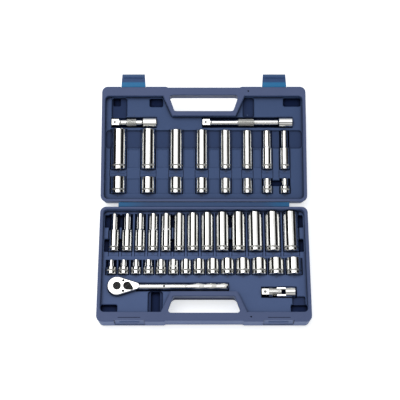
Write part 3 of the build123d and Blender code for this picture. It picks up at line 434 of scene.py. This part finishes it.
def latch_plastic(name, colours):
    """The latch flaps: a painted backlight clear blue at the thin root, darker towards the finger lip."""
    material, tree, shader = new_material(name, Specular_IOR_Level=0.25)
    vector = placed(tree, LID)
    grain = grouped(tree, moulded_grain(), Vector=vector, Grain_Scale=1200.0)
    along = add_node(tree, "ShaderNodeSeparateXYZ", Vector=vector).outputs[1]
    # painted backlight: the clear blue at the root stands in for light shining through the thin fold
    skin = ramped(tree, ranged(tree, along, HALF_DEPTH, HALF_DEPTH + LATCH_REACH),
                  ((0.0, colours.latch_backlit_root), (0.3, colours.latch_backlit_root), (0.42, colours.latch_middle),
                   (0.75, colours.latch_middle), (0.92, colours.latch_tip)))
    skin = mixed(tree, math_node(tree, "MULTIPLY", grain["Scuffs"], LATCH_SCUFF_SHARE), skin, colours.scuff)
    surfaced(tree, shader, skin, ranged(tree, grain["Height"], to=(0.3, 0.45)), grain["Height"],
             0.08 * MM, 0.4)
    return material


def marked(name, colour, worn_to, smooth, rough, relief, wear=(0.45, 0.8, 1.0), scale=90.0, **constants):
    """Metal with faint handling marks and an almost flat ripple. wear is its start, its end and its share."""
    material, tree, shader = new_material(name, **constants)
    marks = grouped(tree, plate_marks(), Vector=object_place(tree), Scale=scale, Smooth=smooth, Rough=rough)
    worn = ranged(tree, marks["Tarnish"], wear[0], wear[1], (0.0, wear[2]))
    surfaced(tree, shader, mixed(tree, worn, colour, worn_to), marks["Roughness"], marks["Height"],
             relief * MM, 0.3)
    return material


def plain(name, colour, worn_to, roughness, gloss):
    """A plain finish that is worn a little here and there."""
    material, tree, shader = new_material(name, Roughness=roughness, Specular_IOR_Level=gloss)
    worn = grouped(tree, moulded_grain(), Vector=object_place(tree), Mottle_Scale=140.0)["Mottle"]
    plug(tree, shader, Base_Color=mixed(tree, ranged(tree, worn, 0.45, 0.75, (0.0, 0.4)), colour, worn_to))
    return material


PLATED = {  # colour, dulled colour, least and most roughness, and the ripple's height in millimetres
    "chrome plate": ("chrome", "chrome_dull", 0.05, 0.14, 0.02),
    "satin chrome": ("knurl", "chrome_dull", 0.16, 0.28, 0.03),
    "knurled chrome": ("knurl", "chrome_dull", 0.22, 0.34, 0.04),
    "knurled grip": ("chrome_dull", "knurl", 0.42, 0.5, 0.02),
    "bare steel": ("steel", "chrome_dull", 0.25, 0.4, 0.05),
    # dark steel: painted shade on the universal joint's block; it also colours the rings round the balls
    "dark steel": ("dark_steel", "black_worn", 0.3, 0.45, 0.05),
}
PLAIN = {  # colour, worn colour, roughness and gloss
    "number plastic": ("number", "panel", 0.5, 0.2),
    "etched marks": ("etching", "steel", 0.6, 0.3),
    # painted shade: dark strips in the corner and pocket shade colours, standing in for the shade along the
    # moulding's steps
    "painted shade lines": ("corner", "pocket", 0.6, 0.1),
    # painted highlight: the rings and grip on the button and lever are painted paler than their black
    "highlit worn black": ("black_worn", "black", 0.45, 0.3),
}


def material(name):
    """One of the set's finishes by name, made when it is first asked for."""
    if name in bpy.data.materials:
        return bpy.data.materials[name]
    colours = bpy.context.scene.socket_set_colours
    if name in PLATED:
        colour, dull, *rest = PLATED[name]
        return marked(name, getattr(colours, colour), getattr(colours, dull), *rest, Metallic=1.0)
    if name in PLAIN:
        colour, worn_to, *rest = PLAIN[name]
        return plain(name, getattr(colours, colour), getattr(colours, worn_to), *rest)
    makers = {
        "base plastic": lambda: case_plastic(name, BASE, colours.panel, colours),
        "lid plastic": lambda: case_plastic(name, LID, colours.lid_panel, colours),
        "web plastic": lambda: web_plastic(name, colours),
        "latch plastic": lambda: latch_plastic(name, colours),
        "black oxide": lambda: marked(name, colours.black, colours.black_worn, 0.36, 0.55, 0.05,
                                      wear=(0.55, 0.75, 0.35), scale=260.0, Specular_IOR_Level=0.12),
    }
    return makers[name]()


# ---- knurling, by geometry nodes ----
@made_once("Knurled Band")
def knurl_tree(name):
    """A closed band of knurl diamonds round the local Y axis."""
    tree, value, end = node_tree(
        name, {"Geometry": "Geometry", "Radius": 8 * MM, "Width": 3 * MM, "Teeth": 40, "Rows": 3,
               "Tooth Height": 0.3 * MM, "Material": "Material"},
        {"Geometry": "Geometry"}, "GeometryNodeTree")
    calc = functools.partial(math_node, tree)
    steps_along = calc("MULTIPLY", value["Rows"], 4.0)
    grid = add_node(tree, "GeometryNodeMeshGrid", Size_X=1.0, Size_Y=1.0,
                    Vertices_X=calc("ADD", calc("MULTIPLY", value["Teeth"], 4.0), 1.0),
                    Vertices_Y=calc("ADD", steps_along, 1.0))
    spot = add_node(tree, "GeometryNodeInputPosition").outputs[0]
    across, along, _ = add_node(tree, "ShaderNodeSeparateXYZ", Vector=spot).outputs
    turn, climb = calc("MULTIPLY", across, value["Teeth"]), calc("MULTIPLY", along, value["Rows"])
    right, left = (calc("PINGPONG", calc(operation, turn, climb), 0.5) for operation in ("ADD", "SUBTRACT"))
    diamond = calc("MULTIPLY", calc("MINIMUM", right, left), 2.0)
    from_end = calc("SUBTRACT", 0.5, calc("ABSOLUTE", along))
    inside = calc("MINIMUM", calc("MULTIPLY", from_end, steps_along), 1.0)
    tooth = calc("MULTIPLY", calc("MULTIPLY", diamond, inside), value["Tooth Height"])
    buried = calc("MULTIPLY", calc("SUBTRACT", inside, 1.0), BAND_FOOT)
    radius = calc("ADD", value["Radius"], calc("ADD", tooth, buried))
    angle = calc("MULTIPLY", across, 2 * math.pi)
    place = add_node(tree, "ShaderNodeCombineXYZ", X=calc("MULTIPLY", radius, calc("SINE", angle)),
                     Y=calc("MULTIPLY", along, value["Width"]),
                     Z=calc("MULTIPLY", radius, calc("COSINE", angle)))
    band = add_node(tree, "GeometryNodeSetPosition", Geometry=grid.outputs[0], Position=place.outputs[0])
    closed = add_node(tree, "GeometryNodeMergeByDistance", Geometry=band.outputs[0], Distance=WELD)
    outward = add_node(tree, "GeometryNodeFlipFaces", Mesh=closed.outputs[0])
    whole = add_node(tree, "GeometryNodeRealizeInstances", Geometry=outward.outputs[0])
    painted = add_node(tree, "GeometryNodeSetMaterial", Geometry=whole.outputs[0], Material=value["Material"])
    plug(tree, end, i0=painted.outputs[0])
    return tree


def grown(tree, **inputs):
    """The plain mesh that a geometry tree makes from its named inputs."""
    seed = new_object("seed", bpy.data.meshes.new("seed"))
    modifier = seed.modifiers.new("grow", "NODES")
    modifier.node_group = tree
    for item in tree.interface.items_tree:
        if item.item_type == "SOCKET" and item.in_out == "INPUT" and item.name in inputs:
            modifier[item.identifier] = inputs[item.name]
    return evaluated(seed)


def knurled_band(half, centre, radius, width, teeth, rows, height, along_hinge=False):
    """A knurled band's mesh in place, its axis along the half's own Y, or along X."""
    mesh = grown(knurl_tree(), **{"Radius": radius, "Width": width, "Teeth": teeth, "Rows": rows,
                                  "Tooth Height": height, "Material": material("knurled chrome")})
    turn = Matrix.Rotation(-math.pi / 2, 4, "Z") if along_hinge else Matrix.Identity(4)
    mesh.transform(half @ Matrix.Translation(centre) @ turn)
    return mesh


# ---- what a user may change ----
def colour_setting(label, what, *rgb):
    return FloatVectorProperty(name=label, description=what, subtype="COLOR", size=3, min=0.0, max=1.0,
                               default=srgb(*rgb)[:3])


class SocketSetColours(bpy.types.PropertyGroup):
    """Colours of the case, its hinge and latches, and the tools."""

    panel: colour_setting("Panel", "Plastic of the sunken panels and outer walls", 80, 100, 144)
    lid_panel: colour_setting("Lid Panel", "The lid's panel, which faces the light less", 65, 86, 128)
    rim: colour_setting("Rim", "Plastic along the rims, a little paler", 84, 97, 135)
    shade: colour_setting("Mottle", "Darker tone of the mottling", 58, 76, 112)
    scuff: colour_setting("Scuffs", "Pale scratches on the plastic", 128, 142, 170)
    pocket: colour_setting("Pockets", "Painted shade down in the tool beds and finger wells", 14, 28, 66)
    corner: colour_setting("Corners", "Painted shade in the shut-in corners of beds and walls", 6, 11, 30)
    number: colour_setting("Numbers", "Tops of the raised numbers, rubbed a little paler", 104, 120, 158)
    etching: colour_setting("Etching", "Size marks etched into the sockets", 118, 116, 112)
    web_middle: colour_setting("Hinge Middle", "Hinge strip along its middle", 48, 76, 118)
    web_backlit_end: colour_setting("Hinge Ends", "Painted backlight of the hinge strip near its ends", 24, 98, 148)
    latch_backlit_root: colour_setting("Latch Root", "Painted backlight through the thin plastic at a latch's fold", 20, 112, 166)
    latch_middle: colour_setting("Latch Middle", "Middle of a latch", 30, 66, 116)
    latch_tip: colour_setting("Latch Tip", "Finger lip of a latch", 58, 88, 130)
    chrome: colour_setting("Chrome", "Polished chrome plate", 236, 236, 234)
    chrome_dull: colour_setting("Dull Chrome", "Chrome where it has dulled", 214, 214, 208)
    knurl: colour_setting("Knurling", "Chrome on the knurled bands", 188, 188, 185)
    steel: colour_setting("Steel", "Bare steel of the pins, balls, pawl and spring", 168, 168, 166)
    dark_steel: colour_setting("Dark Steel", "Steel of the universal joint's block, painted dark as shade between the yokes", 92, 90, 86)
    black: colour_setting("Black Oxide", "Release button, reversing lever and screws", 20, 21, 22)
    black_worn: colour_setting("Worn Oxide", "Black oxide where it has rubbed thin, and the painted highlight on the button's and lever's rings and grip", 56, 56, 57)


def length_setting(label, what, size, least, most, precision):
    return FloatProperty(name=label, description=what, default=size * MM, min=least * MM, max=most * MM,
                         unit="LENGTH", precision=precision)


def teeth_setting(label, what, count):
    return IntProperty(name=label, description=what, default=count, min=12, max=120)


class SocketSetSizes(bpy.types.PropertyGroup):
    """Sizes of what is added to the solids."""

    ring_teeth: teeth_setting("Ring Teeth", "Knurl teeth round a socket's grip ring", 44)
    band_teeth: teeth_setting("Band Teeth", "Knurl teeth round an extension bar's grip band", 30)
    tooth_height: length_setting("Tooth Height", "Height of a knurl tooth", 0.3, 0.05, 1, 5)
    number_size: length_setting("Number Size", "Height of the raised size numbers", 3.6, 1, 8, 4)
    etching_size: length_setting("Etching Size", "Height of the marks etched on the sockets", 2.4, 1, 5, 4)
    number_rise: length_setting("Number Rise", "How far the numbers stand out of the panel", 0.4, 0.1, 1, 5)
    lens: FloatProperty(name="Lens", description="Focal length of the camera in millimetres", default=93.6,
                        min=20.0, max=300.0)
    lamp_power: FloatProperty(name="Lamp Power", description="Power of the large soft lamp overhead",
                              default=9.0, min=0.0, max=500.0, unit="POWER")
    room_light: FloatProperty(name="Room Light", description="Even light from all round", default=0.5,
                              min=0.0, max=3.0)


# ---- operators ----
class SOCKETSET_OT_case(bpy.types.Operator):
    """Gives both case halves their moulded plastic"""

    bl_idname = "socketset.case"
    bl_label = "Case Halves"

    def execute(self, context):
        for side in SIDES:
            finish_nodes(material(f"{side} plastic"), f"{side}_shell")
        return {"FINISHED"}


def lettering(words, height, rise):
    """Lettering as a flat-backed mesh, centred on its origin in the XY plane."""
    curve = bpy.data.curves.new("number", "FONT")
    curve.body, curve.size = words, height
    curve.align_x, curve.align_y = "CENTER", "CENTER"
    curve.extrude, curve.resolution_u = rise / 2, 3
    mesh = evaluated(new_object("number", curve))
    bpy.data.curves.remove(curve)
    return mesh


def etched_text(words, height, half, centre, radius):
    """Marks on a socket's top, bent round its axis, which runs along the half's own Y."""
    mesh = lettering(words, height, ETCHING_THICKNESS)
    for vertex in mesh.vertices:
        turn, out = vertex.co.x / radius, radius + ETCHING_STAND + vertex.co.z
        vertex.co = (centre.x + out * math.sin(turn), centre.y + vertex.co.y, centre.z + out * math.cos(turn))
    mesh.transform(half)
    return mesh


def size_text(node):
    """A socket's size as it is written beside its bed: 13, or 3/4."""
    size = node.removeprefix("deep_").removeprefix("socket_")
    return size.removesuffix("mm").removesuffix("in").replace("_", "/")


def inch_pairs():
    """Each deep inch socket's node, with the local box of the shallow one of that size behind it."""
    for node in DEEP_SOCKETS:
        if node.endswith("in"):
            low, high = local_box(node)
            yield node, *local_box(INCH_SET, near_x=(low.x + high.x) / 2)


class SOCKETSET_OT_numbers(bpy.types.Operator):
    """Raises each socket's size number out of the panel, those of the deep sockets on low pads"""

    bl_idname = "socketset.numbers"
    bl_label = "Size Numbers"

    PAD_GAP, PAD_RISE, PAD_MARGIN = 1.4 * MM, 0.5 * MM, 0.8 * MM
    INCH_SHARE = 0.8  # height of the shallow inch numbers over that of the others
    BARS = (("short_extension", "3"), ("long_extension", "6"))

    def execute(self, context):
        sizes = context.scene.socket_set_sizes
        below_bed = self.PAD_GAP + self.PAD_MARGIN + sizes.number_size / 2
        numbers, pads = {"base": [], "lid": []}, {"base": [], "lid": []}

        def write(side, words, height, rise, low, high, y):
            """Raised lettering on a half's panel, read from the front of the base and centred on a tool."""
            mesh = lettering(words, height, rise)
            place = Matrix.Translation(((low.x + high.x) / 2, y, PANEL + rise / 2))
            mesh.transform((LID if side == "lid" else BASE) @ place)
            numbers[side].append(mesh)

        for node in DEEP_SOCKETS + SHALLOW_SOCKETS:
            low, high = local_box(node)
            half, rise = half_of(node), sizes.number_rise
            side = "lid" if half == LID else "base"
            if node in DEEP_SOCKETS:
                foot = low.y - 2 * below_bed + self.PAD_GAP
                pads[side].append(bevelled_pad(half, (low.x + self.PAD_RISE, foot),
                                               (high.x - self.PAD_RISE, low.y - self.PAD_GAP), self.PAD_RISE))
                rise += self.PAD_RISE
            write(side, size_text(node), sizes.number_size, rise, low, high, low.y - below_bed)
        for deep, low, high in inch_pairs():
            write("lid", size_text(deep), sizes.number_size * self.INCH_SHARE, sizes.number_rise, low, high,
                  low.y - below_bed)
        for node, words in self.BARS:
            low, high = local_box(node)
            write("lid", words, sizes.number_size, sizes.number_rise, low, high, high.y + below_bed)
        for side in SIDES:
            dress_side(side, "size_numbers", numbers[side], "number plastic")
            dress_side(side, "number_pads", pads[side], f"{side} plastic")
        return {"FINISHED"}


class SOCKETSET_OT_painted_shade_lines(bpy.types.Operator):
    """Draws fine dark lines of painted shade along the steps of the moulding, in front of and between the deep
    sockets, and by the latches
    """

    bl_idname = "socketset.mould_lines"
    bl_label = "Painted Shade Lines"

    WIDTH, RISE = 0.9 * MM, 0.06 * MM
    ROOM, PAD_REACH = 1.2 * MM, 8 * MM
    LATCH_FIRST, LATCH_LAST, LATCH_Y = 102 * MM, 137 * MM, -91.6 * MM

    def line(self, half, first, last, height=PANEL):
        """A fine dark line between two (x, y) places, the first of them the lower or the one further left."""
        lift = half @ Matrix.Translation((0, 0, height - PANEL))
        side = self.WIDTH / 2
        return bevelled_pad(lift, (first[0] - side, first[1] - side), (last[0] + side, last[1] + side),
                            self.RISE)

    def execute(self, context):
        lines = {"base": [], "lid": []}
        for deep, _, high in inch_pairs():
            deep_low, deep_high = local_box(deep)
            for x in (deep_low.x - self.ROOM, deep_high.x + self.ROOM):
                lines["lid"].append(self.line(LID, (x, high.y + self.ROOM), (x, deep_low.y - self.ROOM)))
        for node in DEEP_SOCKETS:
            if half_of(node) == BASE:
                low, high = local_box(node)
                for x in (low.x, high.x):
                    lines["base"].append(self.line(BASE, (x, low.y - self.PAD_REACH), (x, low.y - self.ROOM)))
        for first, last in ((self.LATCH_FIRST, self.LATCH_LAST), (-self.LATCH_LAST, -self.LATCH_FIRST)):
            lines["base"].append(self.line(BASE, (first, self.LATCH_Y), (last, self.LATCH_Y), HALF_HEIGHT))
        for side in SIDES:
            dress_side(side, "painted_shade_lines", lines[side], "painted shade lines")
        return {"FINISHED"}


class SOCKETSET_OT_hinge(bpy.types.Operator):
    """Finishes the hinge strip"""

    bl_idname = "socketset.hinge"
    bl_label = "Hinge"

    def execute(self, context):
        finish_nodes(material("web plastic"), "hinge_web")
        return {"FINISHED"}


class SOCKETSET_OT_latches(bpy.types.Operator):
    """Finishes both latches and ribs their outer faces for the fingers"""

    bl_idname = "socketset.latches"
    bl_label = "Latches"

    RIBS, RIB_PITCH, RIB_WIDTH, RIB_RISE = 5, 2.2 * MM, 1.1 * MM, 0.45 * MM
    RIB_SHARE = 0.36  # half a rib's length over the latch's width
    FACE, TIP_ROOM = 29.95 * MM, 3.4 * MM

    def execute(self, context):
        latches = ("latch_left", "latch_right")
        finish_nodes(material("latch plastic"), *latches)
        outward = Matrix.Rotation(math.pi, 4, "Y")
        for node in latches:
            low, high = local_box(node)
            middle = Matrix.Translation(((low.x + high.x) / 2, 0, self.FACE)) @ outward
            half = LID @ middle @ Matrix.Translation((0, 0, -PANEL))
            reach = self.RIB_SHARE * (high.x - low.x)
            tips = [high.y - self.TIP_ROOM - index * self.RIB_PITCH for index in range(self.RIBS)]
            ribs = [bevelled_pad(half, (-reach, tip - self.RIB_WIDTH), (reach, tip), self.RIB_RISE)
                    for tip in tips]
            dress(joined(f"{node}_ribs", ribs), material("latch plastic"), BODY_OF[node])
        return {"FINISHED"}


class SOCKETSET_OT_sockets(bpy.types.Operator):
    """Plates every socket, knurls the ring near its drive end and etches its size past the ring"""

    bl_idname = "socketset.sockets"
    bl_label = "Sockets"

    RING_START, RING_WIDTH, RING_DEPTH, RING_ROWS = 5 * MM, 3 * MM, 0.35 * MM, 3
    ETCHING_ROOM = 0.7  # from the ring to the middle of the marks, over their height

    def ring(self, context, node, near_x=None):
        """The knurled ring of one socket, which fills the groove turned for it."""
        sizes = context.scene.socket_set_sizes
        low, high = local_box(node, near_x)
        centre = (low + high) / 2
        centre.y = low.y + self.RING_START + self.RING_WIDTH / 2
        radius = (high.x - low.x) / 2 - self.RING_DEPTH
        return knurled_band(half_of(node), centre, radius, self.RING_WIDTH, sizes.ring_teeth, self.RING_ROWS,
                            sizes.tooth_height)

    def etched(self, context, node, low, high):
        """The size etched on a socket, just past its knurled ring."""
        size = context.scene.socket_set_sizes.etching_size
        centre = (low + high) / 2
        centre.y = low.y + self.RING_START + self.RING_WIDTH + self.ETCHING_ROOM * size
        return etched_text(size_text(node), size, half_of(node), centre, (high.x - low.x) / 2)

    def finish_pair(self, node, ring_name, rings, marks_name, marks):
        """Joins the rings and the marks of one node into a piece each."""
        dress(joined(ring_name, rings), material("knurled chrome"), BODY_OF[node])
        dress(joined(marks_name, marks), material("etched marks"), BODY_OF[node])

    def execute(self, context):
        finish_nodes(material("chrome plate"), INCH_SET, *DEEP_SOCKETS, *SHALLOW_SOCKETS)
        for node in DEEP_SOCKETS + SHALLOW_SOCKETS:
            self.finish_pair(node, f"{node}_ring", [self.ring(context, node)],
                        f"{node}_marks", [self.etched(context, node, *local_box(node))])
        pairs = list(inch_pairs())
        rings = [self.ring(context, INCH_SET, near_x=(low.x + high.x) / 2) for _, low, high in pairs]
        marks = [self.etched(context, deep, low, high) for deep, low, high in pairs]
        self.finish_pair(INCH_SET, "shallow_inch_rings", rings, "shallow_inch_marks", marks)
        return {"FINISHED"}


def ball_ring(ball):
    """The dark ring staked round a spring-held ball in the top of its drive square."""
    low, high = local_box(ball)
    place = ((low.x + high.x) / 2, (low.y + high.y) / 2, high.z - BALL_STAND)
    name = f"{ball}_ring"
    profile = bead(BALL_RING, BALL_RING_WIDTH, BALL_RING_RISE)
    ring = joined(name, [turned(name, place, profile, half_of(ball), steps=28)])
    return dress(ring, material("dark steel"), BODY_OF[ball])


class SOCKETSET_OT_extensions(bpy.types.Operator):
    """Plates both extension bars, knurls their grip bands and rings their balls"""

    bl_idname = "socketset.extensions"
    bl_label = "Extension Bars"

    BANDS = {"short_extension": (26 * MM, 42 * MM), "long_extension": (60.7 * MM, 87.2 * MM)}
    BAND_RADIUS, ROW_PITCH = 5.85 * MM, 1.2 * MM

    def execute(self, context):
        sizes = context.scene.socket_set_sizes
        for node, (first, last) in self.BANDS.items():
            low, high = local_box(node)
            centre = (low + high) / 2
            centre.x = low.x + (first + last) / 2
            band = knurled_band(LID, centre, self.BAND_RADIUS, last - first, sizes.band_teeth,
                                round((last - first) / self.ROW_PITCH), sizes.tooth_height, along_hinge=True)
            dress(joined(f"{node}_knurling", [band]), material("knurled grip"), BODY_OF[node])
            ball_ring(f"{node}_ball")
        finish_nodes(material("chrome plate"), *self.BANDS)
        finish_nodes(material("bare steel"), *(f"{node}_ball" for node in self.BANDS))
        return {"FINISHED"}


class SOCKETSET_OT_ratchet(bpy.types.Operator):
    """Plates the ratchet, blacks its button, lever and screws, paints the rings and grip of the button and lever
    paler as highlights, rings the screws, and dimples its shank
    """

    bl_idname = "socketset.ratchet"
    bl_label = "Ratchet"

    RINGS = (("release_button", "button_rings", (2.2 * MM, 4.4 * MM, 6.0 * MM)),
             ("reversing_lever", "lever_rings", (6.0 * MM,)))
    RING_WIDTH, RING_RISE = 0.9 * MM, 0.25 * MM
    SCREW_HEAD, SCREW_SINK, SCREW_RISE = 1.9 * MM, 0.05 * MM, 0.12 * MM
    GRIP_TURN, GRIP_HALF, GRIP_RISE = math.radians(40), (4.6 * MM, 1 * MM), 0.5 * MM
    DIMPLE_X, DIMPLE_RADIUS, DIMPLE_WIDTH, DIMPLE_RISE = -64.5 * MM, 1.1 * MM, 1.5 * MM, 0.12 * MM
    BUTTON_TRAVEL = 1.8 * MM

    def black(self, name, meshes, finish, node):
        """Joins meshes into one blacked piece that moves with a node."""
        dress(joined(name, meshes), material(finish), BODY_OF[node])

    def knobs(self):
        """The rings round the button and the lever, painted paler as highlights. Returns the middle of the lever's
        top.
        """
        for node, name, radii in self.RINGS:
            low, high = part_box(node)
            round_part = (high.y - low.y) / 2
            top = (low.x + round_part, (low.y + high.y) / 2, high.z)
            rings = [turned(name, top, bead(radius, self.RING_WIDTH, self.RING_RISE)) for radius in radii]
            self.black(name, rings, "highlit worn black", node)
        return top

    def screws(self):
        """A thin ring round each screw head in the cover."""
        low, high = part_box("cover_screws")
        rim = bead(self.SCREW_HEAD, self.RING_WIDTH, self.SCREW_RISE)
        heads = [((low.x + high.x) / 2, y, high.z - self.SCREW_SINK)
                 for y in (low.y + self.SCREW_HEAD, high.y - self.SCREW_HEAD)]
        rings = [turned("screw_rings", head, rim, steps=28) for head in heads]
        self.black("screw_rings", rings, "black oxide", "cover_screws")

    def grip(self, top):
        """The low bar across the lever's top that a thumb turns it by, painted paler as a highlight."""
        bar = Matrix.Translation((top[0], top[1], top[2] - PANEL)) @ Matrix.Rotation(self.GRIP_TURN, 4, "Z")
        x, y = self.GRIP_HALF
        self.black("lever_grip", [bevelled_pad(bar, (-x, -y), (x, y), self.GRIP_RISE)], "highlit worn black",
                   "reversing_lever")

    def dimple(self):
        """The small blacked pit on top of the shank."""
        low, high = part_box("ratchet_body")
        above = (self.DIMPLE_X, (low.y + high.y) / 2, high.z + MM)
        place = NODES["ratchet_body"].ray_cast(above, (0, 0, -1))[1]
        rim = bead(self.DIMPLE_RADIUS, self.DIMPLE_WIDTH, self.DIMPLE_RISE)
        pit = turned("shank_dimple", place, rim, steps=24)
        self.black("shank_dimple", [pit], "black oxide", "ratchet_body")

    def spring(self):
        """The button's spring as a piece of its own."""
        coil = new_object("pressed_spring", NODES["button_spring"].data.copy())
        dress(coil, material("bare steel"), BODY_OF["button_spring"])
        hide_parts("button_spring")
        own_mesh(coil)

    def execute(self, context):
        top = self.knobs()
        self.screws()
        self.grip(top)
        self.dimple()
        finish_nodes(material("chrome plate"), "ratchet_body", "ratchet_cover", "drive_gear")
        finish_nodes(material("black oxide"), "release_button", "reversing_lever", "cover_screws")
        finish_nodes(material("bare steel"), "pawl", "ratchet_ball")
        self.spring()
        return {"FINISHED"}


class SOCKETSET_OT_universal_joint(bpy.types.Operator):
    """Plates the universal joint, darkens its block as painted shade between the yokes, leaves its pins bare and
    rings its ball
    """

    bl_idname = "socketset.universal_joint"
    bl_label = "Universal Joint"

    def execute(self, context):
        ball_ring("joint_ball")
        finish_nodes(material("chrome plate"), "joint_socket_yoke")
        finish_nodes(material("satin chrome"), "joint_square_yoke")
        finish_nodes(material("bare steel"), "joint_upright_pin", "joint_cross_pins", "joint_ball")
        # painted shade: the block is darkened to stand in for the shade between the yokes
        finish_nodes(material("dark steel"), "joint_block")
        return {"FINISHED"}


class SOCKETSET_OT_studio(bpy.types.Operator):
    """Makes the pale floor, the soft light and the camera"""

    bl_idname = "socketset.studio"
    bl_label = "Studio"

    FLOOR_REACH = 4.0
    LAMP_SIZE, LAMP_PLACE, LAMP_TARGET = 1.2, (-0.35, 0.25, 1.5), (0.0, 0.1, 0.03)
    CAMERA_PLACE, CAMERA_TILT, SENSOR = (-0.0065, -0.549, 1.633), math.radians(22.4), 36.0

    def floor(self):
        """A wide pale floor that the base lies on."""
        mesh = bpy.data.meshes.new("studio_floor")
        reach = self.FLOOR_REACH
        corners = [(-reach, -reach, 0), (reach, -reach, 0), (reach, reach, 0), (-reach, reach, 0)]
        mesh.from_pydata(corners, [], [(0, 1, 2, 3)])
        floor = new_object("studio_floor", mesh)
        paper, tree, shader = new_material("pale paper", Specular_IOR_Level=0.1, Roughness=0.9,
                                           Emission_Color=srgb(250, 251, 251), Emission_Strength=0.6)
        fibre = noise(tree, object_place(tree), 30.0, 2.0)
        plug(tree, shader, Base_Color=mixed(tree, fibre, srgb(249, 250, 250), srgb(246, 248, 248)))
        mesh.materials.append(paper)

    def sky(self, room_light):
        """Even light for the plastic. The metal sees a bright ceiling, dark sides, a dark front and grey
        walls, and a panel high up in front, which shows in it from behind."""
        world = bpy.data.worlds.new("studio")
        bpy.context.scene.world = world
        world.use_nodes = True
        tree = world.node_tree
        tree.nodes.clear()
        direction = add_node(tree, "ShaderNodeTexCoord").outputs["Generated"]
        across, along, up = add_node(tree, "ShaderNodeSeparateXYZ", Vector=direction).outputs
        ceiling = ramped(tree, math_node(tree, "ABSOLUTE", across),
                         ((0.50, (1.0, 1.0, 1.0)), (0.56, (0.01, 0.01, 0.01))))
        front = ranged(tree, along, -0.38, -0.2, (0.02, 1.0))
        back = ranged(tree, along, 0.42, 0.55)
        low = ranged(tree, up, 0.3, 0.24)
        panel = math_node(tree, "MULTIPLY", ranged(tree, along, -0.45, -0.58, (0.0, 0.7)),
                          ranged(tree, up, 0.36, 0.46))
        seen_in_metal = mixed(tree, back, ceiling, (0.85, 0.85, 0.85))
        seen_in_metal = mixed(tree, low, seen_in_metal, (0.38, 0.38, 0.37))
        strength = math_node(tree, "MAXIMUM", math_node(tree, "MAXIMUM", front, low), panel)
        reflected = add_node(tree, "ShaderNodeBackground", Color=seen_in_metal, Strength=strength)
        room, white = (add_node(tree, "ShaderNodeBackground", Color=(1.0, 1.0, 1.0, 1.0), Strength=level)
                       for level in (room_light, 1.0))
        rays = add_node(tree, "ShaderNodeLightPath").outputs
        lit = add_node(tree, "ShaderNodeMixShader", i0=rays["Is Glossy Ray"], i1=room.outputs[0],
                       i2=reflected.outputs[0])
        seen = math_node(tree, "MAXIMUM", rays["Is Camera Ray"], rays["Is Transmission Ray"])
        whole = add_node(tree, "ShaderNodeMixShader", i0=seen, i1=lit.outputs[0], i2=white.outputs[0])
        add_node(tree, "ShaderNodeOutputWorld", Surface=whole.outputs[0])

    def lamp(self, power):
        light = bpy.data.lights.new("overhead_lamp", "AREA")
        light.energy, light.size = power, self.LAMP_SIZE
        lamp = new_object("overhead_lamp", light)
        lamp.location = self.LAMP_PLACE
        to_target = Vector(self.LAMP_TARGET) - Vector(self.LAMP_PLACE)
        lamp.rotation_euler = to_target.to_track_quat("-Z", "Y").to_euler()

    def camera(self, lens):
        data = bpy.data.cameras.new("camera")
        data.lens, data.sensor_width = lens, self.SENSOR
        data.clip_start, data.clip_end = 0.05, 20.0
        camera = new_object("camera", data)
        camera.location = self.CAMERA_PLACE
        camera.rotation_euler = (self.CAMERA_TILT, 0.0, 0.0)
        bpy.context.scene.camera = camera

    def execute(self, context):
        sizes = context.scene.socket_set_sizes
        self.floor()
        self.sky(sizes.room_light)
        self.lamp(sizes.lamp_power)
        self.camera(sizes.lens)
        context.scene.view_settings.view_transform = "Standard"
        return {"FINISHED"}


OPERATORS = (
    SOCKETSET_OT_case,
    SOCKETSET_OT_numbers,
    SOCKETSET_OT_painted_shade_lines,
    SOCKETSET_OT_hinge,
    SOCKETSET_OT_latches,
    SOCKETSET_OT_sockets,
    SOCKETSET_OT_extensions,
    SOCKETSET_OT_ratchet,
    SOCKETSET_OT_universal_joint,
    SOCKETSET_OT_studio,
)


class SOCKETSET_PT_panel(bpy.types.Panel):
    """Lists the set's pieces, sizes and colours"""

    bl_label = "Socket Set"
    bl_idname = "SOCKETSET_PT_panel"
    bl_space_type = "VIEW_3D"
    bl_region_type = "UI"
    bl_category = "Socket Set"

    def draw(self, context):
        for operator in OPERATORS:
            self.layout.operator(operator.bl_idname)
        for group in (context.scene.socket_set_sizes, context.scene.socket_set_colours):
            column = self.layout.column()
            for name in group.__annotations__:
                column.prop(group, name)


CLASSES = (SocketSetColours, SocketSetSizes, *OPERATORS, SOCKETSET_PT_panel)


def register():
    for cls in CLASSES:
        bpy.utils.register_class(cls)
    bpy.types.Scene.socket_set_colours = PointerProperty(type=SocketSetColours)
    bpy.types.Scene.socket_set_sizes = PointerProperty(type=SocketSetSizes)


def unregister():
    del bpy.types.Scene.socket_set_sizes
    del bpy.types.Scene.socket_set_colours
    for cls in reversed(CLASSES):
        bpy.utils.unregister_class(cls)


def main():
    register()
    for operator in OPERATORS:
        getattr(bpy.ops.socketset, operator.bl_idname.removeprefix("socketset."))()


if __name__ == "__main__":
    main()
